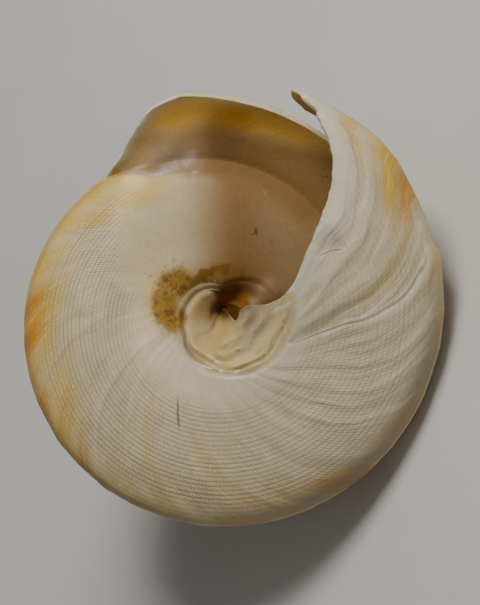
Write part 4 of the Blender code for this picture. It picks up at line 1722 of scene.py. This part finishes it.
class GrowthLines(SurfaceGroup):
    """Folds along the growth lines, and steps where growth paused: height, painted highlight on crests,
    painted shadow lines.
    """

    name = "growth lines"
    takes = {"Counts": None, "Folds": 1.0, "Pauses": 1.0, "Fold Height": 0.0005}
    gives = ("Height", "Crests", "Lines")
    thread_step = Sculpture().thread_step
    lean_cords = 25.0
    pauses = (
        Pause(-189.0, 1.0, 27.0, 0.00013, 0.1, 0.0, 1.2, 0.7),
        Pause(-208.7, 0.0, 6.0, 0.00016, 0.3),
        Pause(-222.0, 3.0, 16.0, 0.0001, 0.05, 4.0, 1.2, 0.5),
        Pause(-145.7, 20.0, 26.0, 0.0, 1.0, 0.0, 1.3),
        Pause(-50.0, 2.0, 30.0, 0.00065, 1.0, 9.0, 1.3, 1.0),
        Pause(-70.0, 6.0, 24.0, 0.00024, 0.35, 7.0, 0.9, 0.5),
        Pause(-44.5, 17.0, 22.5, 0.00095, 0.9, 42.6, 1.0, 1.0),
        Pause(-33.0, 4.0, 22.0, 0.00024, 0.35, 5.0, 0.8, 0.4),
    )

    def draw(self, sheet: NodeSheet, start: Sockets) -> Sequence[Socket]:
        """Noise drawn out along the growth lines, with each pause laid over it.

        Args:
            sheet: the sheet to draw on.
            start: its inputs.

        Returns:
            A socket for each output.
        """
        cords, threads, _ = sheet.put("ShaderNodeSeparateXYZ", {0: start["Counts"]}).outputs
        wave = sheet.noise(sheet.stretched(start["Counts"], (0.1, 0.045, 1.0)), 1.0, 2.0)
        growth = sheet.scaled(threads, self.thread_step, sheet.scaled(wave, 9.0, -4.5))
        inputs = {0: sheet.times(cords, 0.035), 1: sheet.times(growth, 0.13)}
        turned = sheet.put("ShaderNodeCombineXYZ", inputs).outputs[0]
        crests = sheet.stepped(sheet.noise(turned, 1.0, 2.0, 0.42), 0.28, 0.7)
        crests = sheet.times(crests, start["Folds"])
        height = sheet.times(crests, start["Fold Height"])
        steady = sheet.scaled(threads, self.thread_step, sheet.scaled(wave, 2.4, -1.2))
        lines: Value = 0.0
        for pause in self.pauses:
            here = sheet.scaled(cords, -pause.lean / self.lean_cords, steady)
            fall = sheet.stepped(here, pause.growth - pause.half, pause.growth + pause.half)
            before = sheet.less(fall)
            begun = sheet.stepped(cords, pause.outer - 1.0, pause.outer + 1.5)
            ended = sheet.stepped(cords, pause.inner - 2.0, pause.inner + 2.0)
            reach = sheet.times(begun, sheet.less(ended), start["Pauses"])
            past = sheet.stepped(here, pause.growth + pause.half, pause.growth + 14.0)
            notch = sheet.times(fall, sheet.less(past), reach)
            height = sheet.scaled(notch, -pause.drop, height)
            if pause.pale:
                near = sheet.stepped(here, pause.growth - 6.0, pause.growth - pause.half)
                crests = sheet.maths("MAXIMUM", crests, sheet.times(near, reach, before, pause.pale))
            line = sheet.times(fall, before, reach, pause.dark * 4.0)
            lines = sheet.maths("MAXIMUM", lines, line)
        return height, crests, lines


class Crust(SurfaceGroup):
    """A granular crust that eats in from its edges: how much there is, its height, and its grains."""

    name = "crust"
    takes = {"Where": None, "Amount": 0.0}
    gives = ("Mask", "Height", "Grains")
    grain_height = 0.0001

    def draw(self, sheet: NodeSheet, start: Sockets) -> Sequence[Socket]:
        """Grains of two sizes under a broken edge.

        Args:
            sheet: the sheet to draw on.
            start: its inputs.

        Returns:
            A socket for each output.
        """
        broken = sheet.noise(start["Where"], 300.0, 5.0, 0.62)
        held = sheet.scaled(broken, 1.0, -0.5)
        mask = sheet.stepped(sheet.maths("ADD", start["Amount"], held), 0.05, 0.85)
        grains = sheet.stepped(sheet.noise(start["Where"], 480.0, 4.0, 0.65), 0.34, 0.52)
        return mask, sheet.times(grains, mask, self.grain_height), grains


class Wrinkles(SurfaceGroup):
    """Wrinkles of the callus, drawn out along the coil: height in metres, and crease depth for painted
    shade.
    """

    name = "wrinkles"
    takes = {"Counts": None, "Amount": 0.0}
    gives = ("Height", "Creases")
    wrinkle_height = 0.0014

    def draw(self, sheet: NodeSheet, start: Sockets) -> Sequence[Socket]:
        """Two drawn-out noises, the finer one for small pleats.

        Args:
            sheet: the sheet to draw on.
            start: its inputs.

        Returns:
            A socket for each output.
        """
        broad = sheet.noise(sheet.stretched(start["Counts"], (0.26, 0.03, 1.0)), 1.0, 1.0, 0.4, 0.6)
        fine = sheet.noise(sheet.stretched(start["Counts"], (0.7, 0.08, 1.0)), 1.0, 1.0, 0.4, 0.4)
        relief = sheet.scaled(fine, 0.16, broad)
        centred = sheet.maths("SUBTRACT", relief, 0.58)
        creases = sheet.less(sheet.stepped(relief, 0.46, 0.62))
        height = sheet.times(centred, start["Amount"], self.wrinkle_height)
        return height, sheet.times(creases, start["Amount"])


@dataclass
class Effects:
    """The shared surface effects."""

    mottle: Mottle = field(default_factory=Mottle)
    netting: Netting = field(default_factory=Netting)
    lines: GrowthLines = field(default_factory=GrowthLines)
    wrinkles: Wrinkles = field(default_factory=Wrinkles)
    crust: Crust = field(default_factory=Crust)


@dataclass(frozen=True)
class ShellMarks:
    """The effects placed in the shell's material: the outputs of each group, and some coordinates."""

    where: Socket
    clouds: Sockets
    net: Sockets
    lines: Sockets
    wrinkles: Sockets
    crust: Sockets
    streaks: Socket


@dataclass(frozen=True)
class ShellFinish:
    """Chalky ivory with grooves, flames, stains, glaze and nacre, with painted shade and highlights.
    Colours are linear.
    """

    ivory: Colour = (0.6, 0.5, 0.295)
    warm: Colour = (0.52, 0.41, 0.215)
    # painted shade of the net's grooves
    groove: Colour = (0.21, 0.165, 0.095)
    bead: Colour = (0.85, 0.78, 0.6)
    white: Colour = (0.68, 0.62, 0.46)
    glaze: Colour = (0.61, 0.495, 0.27)
    yellow: Colour = (0.62, 0.4, 0.038)
    gold: Colour = (0.86, 0.44, 0.05)
    flame: Colour = (0.56, 0.235, 0.006)
    flame_deep: Colour = (0.29, 0.105, 0.003)
    tan: Colour = (0.232, 0.108, 0.021)
    tan_pale: Colour = (0.34, 0.2, 0.058)
    nacre: Colour = (0.44, 0.31, 0.22)
    nacre_cool: Colour = (0.36, 0.28, 0.23)
    # painted highlight
    gleam: Colour = (0.86, 0.78, 0.72)
    crust: Colour = (0.29, 0.15, 0.008)
    crust_deep: Colour = (0.12, 0.048, 0.003)
    crust_pale: Colour = (0.5, 0.42, 0.12)
    # painted shade of creases
    crease: Colour = (0.5, 0.4, 0.265)
    soak: Colour = (0.2, 0.093, 0.003)
    # lilac of the groove round the callus, also used as painted shade along the rim
    lilac: Colour = (0.26, 0.195, 0.13)
    # painted shade of the hole and of the deep inside of the mouth
    dark: Colour = (0.36, 0.125, 0.018)
    shadow: Colour = (0.15, 0.11, 0.06)
    speck: Colour = (0.07, 0.04, 0.01)
    # painted shade, laid where the shade mask is
    umber: Colour = (0.072, 0.026, 0.004)
    rough: float = 0.5
    rough_glaze: float = 0.33
    rough_nacre: float = 0.18
    rough_crust: float = 0.8
    grain_height: float = 0.00003
    streak_height: float = 0.00006
    specular: float = 0.45
    coat: float = 0.2
    coat_rough: float = 0.18

    def build(self, effects: Effects) -> bpy.types.Material:
        """The material of the shell.

        Args:
            effects: the shared effects.

        Returns:
            The material.
        """
        material = bpy.data.materials.new("shell")
        material.use_nodes = True
        sheet = NodeSheet(material.node_tree)
        shader = material.node_tree.nodes["Principled BSDF"]
        where = sheet.put("ShaderNodeTexCoord", {}).outputs["Object"]
        counts = sheet.put("ShaderNodeUVMap", {}, uv_map="counts").outputs[0]
        marks = ShellMarks(
            where=where,
            clouds=effects.mottle.place(sheet, Where=where, Broad=85.0, Fine=900.0),
            net=effects.netting.place(sheet, Counts=counts, Net=sheet.painted(Mask.NET)),
            lines=effects.lines.place(
                sheet, Counts=counts, Folds=sheet.painted(Mask.FOLD), Pauses=sheet.painted(Mask.PAUSE)
            ),
            wrinkles=effects.wrinkles.place(sheet, Counts=counts, Amount=sheet.painted(Mask.WRINKLE)),
            crust=effects.crust.place(sheet, Where=where, Amount=sheet.painted(Mask.STAIN)),
            streaks=sheet.noise(sheet.stretched(counts, (0.1, 1.1, 1.0)), 1.0, 3.0, 0.6),
        )
        links = material.node_tree.links
        links.new(self.colours(sheet, marks), shader.inputs["Base Color"])
        links.new(self.roughness(sheet, marks), shader.inputs["Roughness"])
        fine = sheet.times(marks.clouds["Grain"], self.grain_height)
        rough = sheet.maths("ADD", fine, sheet.times(marks.streaks, self.streak_height))
        height = sheet.times(rough, sheet.less(sheet.times(sheet.painted(Mask.GLAZE), 0.75)))
        for effect in (marks.lines, marks.wrinkles, marks.net, marks.crust):
            height = sheet.maths("ADD", height, effect["Height"])
        relief = sheet.put("ShaderNodeBump", {"Height": height, "Distance": 1.0, "Strength": 1.0})
        links.new(relief.outputs[0], shader.inputs["Normal"])
        shader.inputs["Specular IOR Level"].default_value = self.specular
        shader.inputs["Coat Roughness"].default_value = self.coat_rough
        links.new(sheet.times(sheet.painted(Mask.GLAZE), self.coat), shader.inputs["Coat Weight"])
        return material

    def colours(self, sheet: NodeSheet, marks: ShellMarks) -> Socket:
        """The colours, laid over each other in layers of a mask, a tint, and the most of it.

        Args:
            sheet: the material's sheet.
            marks: the effects placed on it.

        Returns:
            The socket of the finished colour.
        """
        cloud, grain = marks.clouds["Clouds"], marks.clouds["Grain"]
        painted = sheet.painted
        streaky = sheet.less(painted(Mask.GLAZE))
        uneven = sheet.scaled(sheet.stepped(marks.streaks, 0.32, 0.6), 0.5, 0.5)
        yellowed = sheet.times(painted(Mask.YELLOW), sheet.between(streaky, 0.85, uneven))
        ragged = sheet.times(sheet.scaled(marks.streaks, 0.9, -0.47), streaky)
        ragged = sheet.times(ragged, sheet.stepped(painted(Mask.FLAME), 0.0, 0.3))
        lit = sheet.maths("ADD", painted(Mask.FLAME), ragged)
        flame = sheet.mixed(sheet.stepped(lit, 0.75, 1.15), self.flame, self.flame_deep)
        tan = sheet.mixed(sheet.times(cloud, 0.3), self.tan, self.tan_pale)
        cool = sheet.stepped(sheet.noise(marks.where, 120.0, 2.0, 0.5, 1.5), 0.4, 0.62)
        nacre = sheet.mixed(cool, self.nacre, self.nacre_cool)
        gleaming = sheet.broken(Mask.GLEAM, sheet.noise(marks.where, 170.0, 4.0, 0.6))
        stained_and_shaded = sheet.broken(Mask.SOAK, sheet.noise(marks.where, 260.0, 4.0, 0.6))
        pale = sheet.stepped(sheet.noise(marks.where, 300.0, 4.0, 0.65), 0.55, 0.7)
        crust = sheet.mixed(marks.crust["Grains"], self.crust_deep, self.crust)
        crust = sheet.mixed(sheet.times(pale, 0.35), crust, self.crust_pale)
        dots = sheet.stepped(sheet.noise(marks.where, 700.0, 2.0, 0.6), 0.57, 0.63)
        layers = (
            (cloud, self.warm, 0.5),
            (painted(Mask.GLAZE), self.glaze, 1.0),
            (painted(Mask.WHITE), self.white, 1.0),
            # fold crests lighter: painted highlight, with some chalky wear
            (marks.lines["Crests"], self.white, 0.5),
            (yellowed, self.yellow, 1.0),
            (painted(Mask.GOLD), self.gold, 0.95),
            (sheet.stepped(lit, 0.1, 0.85), flame, 0.92),
            # painted shade in the net's grooves, and painted highlights on its beads
            (marks.net["Grooves"], self.groove, 0.6),
            (marks.net["Beads"], self.bead, 0.75),
            (marks.lines["Lines"], self.shadow, 0.9),
            # painted shade in the creases of the wrinkles
            (marks.wrinkles["Creases"], self.crease, 0.45),
            (painted(Mask.TAN), tan, 0.95),
            (painted(Mask.SHADE), self.umber, 1.0),
            (painted(Mask.NACRE), nacre, 0.8),
            (gleaming, self.gleam, 0.85),
            (painted(Mask.LILAC), self.lilac, 0.8),
            (stained_and_shaded, self.soak, 0.92),
            (marks.crust["Mask"], crust, 0.92),
            (sheet.times(dots, painted(Mask.SPECK)), self.speck, 0.9),
            (painted(Mask.DARK), self.dark, 1.0),
        )
        colour: Tint = self.ivory
        for mask, tint, most in layers:
            share = mask if most == 1.0 else sheet.times(mask, most)
            colour = sheet.mixed(share, colour, tint)
        shade = sheet.scaled(cloud, -0.08, sheet.scaled(grain, 0.34, 0.87))
        grey = sheet.put("ShaderNodeCombineColor", {0: shade, 1: shade, 2: shade}).outputs[0]
        return sheet.mixed(1.0, colour, grey, "MULTIPLY")

    def roughness(self, sheet: NodeSheet, marks: ShellMarks) -> Socket:
        """Duller on the net and the crust, glossier where it is glazed or nacreous.

        Args:
            sheet: the sheet to draw on.
            marks: the effects placed on it.

        Returns:
            The roughness.
        """
        rough = sheet.between(sheet.painted(Mask.GLAZE), self.rough, self.rough_glaze)
        rough = sheet.between(sheet.painted(Mask.NACRE), rough, self.rough_nacre)
        rough = sheet.between(sheet.painted(Mask.DARK), rough, self.rough_crust)
        rough = sheet.between(marks.crust["Mask"], rough, self.rough_crust)
        return sheet.maths("ADD", rough, sheet.scaled(marks.clouds["Grain"], 0.12, -0.06))


@dataclass(frozen=True)
class Rest:
    """How the shell lies: turned about its coiling axis, then tipped until the axis is at its elevation."""

    turn: float = 17.9755
    elevation: float = 42.0046
    tip: tuple[float, float, float] = (-4.827, 47.509, 0.041)

    @property
    def rotation(self) -> Matrix:
        """The turn from the growth frame to the row frame."""
        turn, tilt = math.radians(self.turn), math.radians(self.elevation)
        side = Vector((math.sin(turn), math.cos(turn), 0.0))
        flat = math.cos(tilt)
        up = Vector((-math.cos(turn) * flat, math.sin(turn) * flat, math.sin(tilt)))
        return Matrix((side, up.cross(side), up))

    @property
    def matrix(self) -> Matrix:
        """The whole move from the growth frame to the row frame."""
        return Matrix.Translation(Vector(self.tip) * MM) @ self.rotation.to_4x4()


@dataclass(frozen=True)
class SlitShell:
    """The shell: one grown piece."""

    rest: Rest = Rest()
    surface: ShellSurface = ShellSurface()
    hollow: Hollow = Hollow()
    markings: Markings = Markings()
    finish: ShellFinish = ShellFinish()

    def build(self, effects: Effects) -> bpy.types.Object:
        """Args:
            effects: the shared effects.

        Returns:
            The shell's object.
        """
        grid = ShellGrid(self.surface, self.hollow, self.markings)
        mesh = ShellMesh()
        for patch in grid.patches():
            mesh.add(patch)
        piece = mesh.finish("dressed_shell", self.rest.matrix)
        piece.data.materials.append(self.finish.build(effects))
        bpy.context.scene.collection.objects.link(piece)
        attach(piece, "root")
        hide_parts("shell")
        return piece


@dataclass(frozen=True)
class Floor:
    """The plain pale floor."""

    reach: float = 2.5
    rough: float = 0.85
    pale: Colour = (0.62, 0.61, 0.59)
    darker: Colour = (0.58, 0.57, 0.55)

    def build(self, effects: Effects, level: float) -> bpy.types.Object:
        """Lays the floor at this level.

        Args:
            effects: the shared effects.
            level: its height in metres.

        Returns:
            The floor's object.
        """
        mesh = bmesh.new()
        bmesh.ops.create_grid(mesh, x_segments=4, y_segments=4, size=self.reach)
        bmesh.ops.translate(mesh, vec=(0.0, 0.0, level), verts=mesh.verts)
        data = bpy.data.meshes.new("floor")
        mesh.to_mesh(data)
        mesh.free()
        material = bpy.data.materials.new("floor")
        material.use_nodes = True
        sheet = NodeSheet(material.node_tree)
        where = sheet.put("ShaderNodeTexCoord", {}).outputs["Object"]
        clouds = effects.mottle.place(sheet, Where=where, Broad=6.0, Fine=60.0)
        colour = sheet.mixed(clouds["Clouds"], self.pale, self.darker)
        shader = material.node_tree.nodes["Principled BSDF"]
        material.node_tree.links.new(colour, shader.inputs["Base Color"])
        shader.inputs["Roughness"].default_value = self.rough
        data.materials.append(material)
        floor = bpy.data.objects.new("floor", data)
        bpy.context.scene.collection.objects.link(floor)
        return floor


@dataclass(frozen=True)
class Lamp:
    """A soft square light: its direction from the shell in the growth frame, distance, size and power."""

    name: str
    towards: tuple[float, float, float]
    power: float
    size: float
    away: float = 1.0
    colour: Colour = (1.0, 1.0, 1.0)


@dataclass(frozen=True)
class Studio:
    """Camera at the photograph's angle, and plain soft light. Lengths are in mm, in the growth frame."""

    rest: Rest = Rest()
    middle: tuple[float, float] = (7.62, 4.0)
    level: float = 78.0
    lit_below: float = 20.0
    distance: float = 1200.0
    pixels_per_mm: float = 3.83
    sensor: float = 36.0
    world: float = 0.15
    lamps: tuple[Lamp, ...] = (
        Lamp("key", (-0.34, 0.7, 0.64), 9.2, 0.4, colour=(1.0, 0.97, 0.93)),
        Lamp("fill", (0.5, 0.15, 0.86), 0.8, 0.6),
    )

    def build(self) -> None:
        """Sets up camera, lamps and world."""
        turn = self.rest.rotation.to_4x4()
        look = bpy.data.cameras.new("camera")
        look.sensor_width = self.sensor
        look.lens = self.pixels_per_mm * self.distance * self.sensor / max(IMAGE_SIZE)
        camera = bpy.data.objects.new("camera", look)
        place = Vector((*self.middle, self.level + self.distance)) * MM
        camera.matrix_world = Matrix.Translation(self.rest.matrix @ place) @ turn
        bpy.context.scene.collection.objects.link(camera)
        bpy.context.scene.camera = camera
        for lamp in self.lamps:
            self.hang(lamp)
        world = bpy.data.worlds.new("studio")
        world.use_nodes = True
        back = world.node_tree.nodes["Background"]
        back.inputs["Color"].default_value = (1.0, 1.0, 1.0, 1.0)
        back.inputs["Strength"].default_value = self.world
        bpy.context.scene.world = world

    def hang(self, lamp: Lamp) -> None:
        """Hangs one lamp so that it shines on the shell.

        Args:
            lamp: the lamp.
        """
        data = bpy.data.lights.new(lamp.name, "AREA")
        data.energy = lamp.power
        data.size = lamp.size
        data.color = lamp.colour
        target = self.rest.matrix @ (Vector((*self.middle, self.level - self.lit_below)) * MM)
        towards = (self.rest.rotation @ Vector(lamp.towards)).normalized()
        light = bpy.data.objects.new(lamp.name, data)
        facing = towards.to_track_quat("Z", "Y").to_matrix().to_4x4()
        light.matrix_world = Matrix.Translation(target + towards * lamp.away) @ facing
        bpy.context.scene.collection.objects.link(light)


def main() -> None:
    """Builds the shell, the floor and the studio."""
    logging.basicConfig(level=logging.INFO, format="%(message)s")
    LOG.info("the frame has %d nodes", len(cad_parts))
    effects = Effects()
    shell = SlitShell().build(effects)
    LOG.info("%s: %d points", shell.name, len(shell.data.vertices))
    lowest = min(vert.co.z for vert in shell.data.vertices)
    floor = Floor().build(effects, min(0.0, lowest))
    LOG.info("%s: at %.2f mm", floor.name, min(0.0, lowest) / MM)
    Studio().build()


if __name__ == "__main__":
    main()
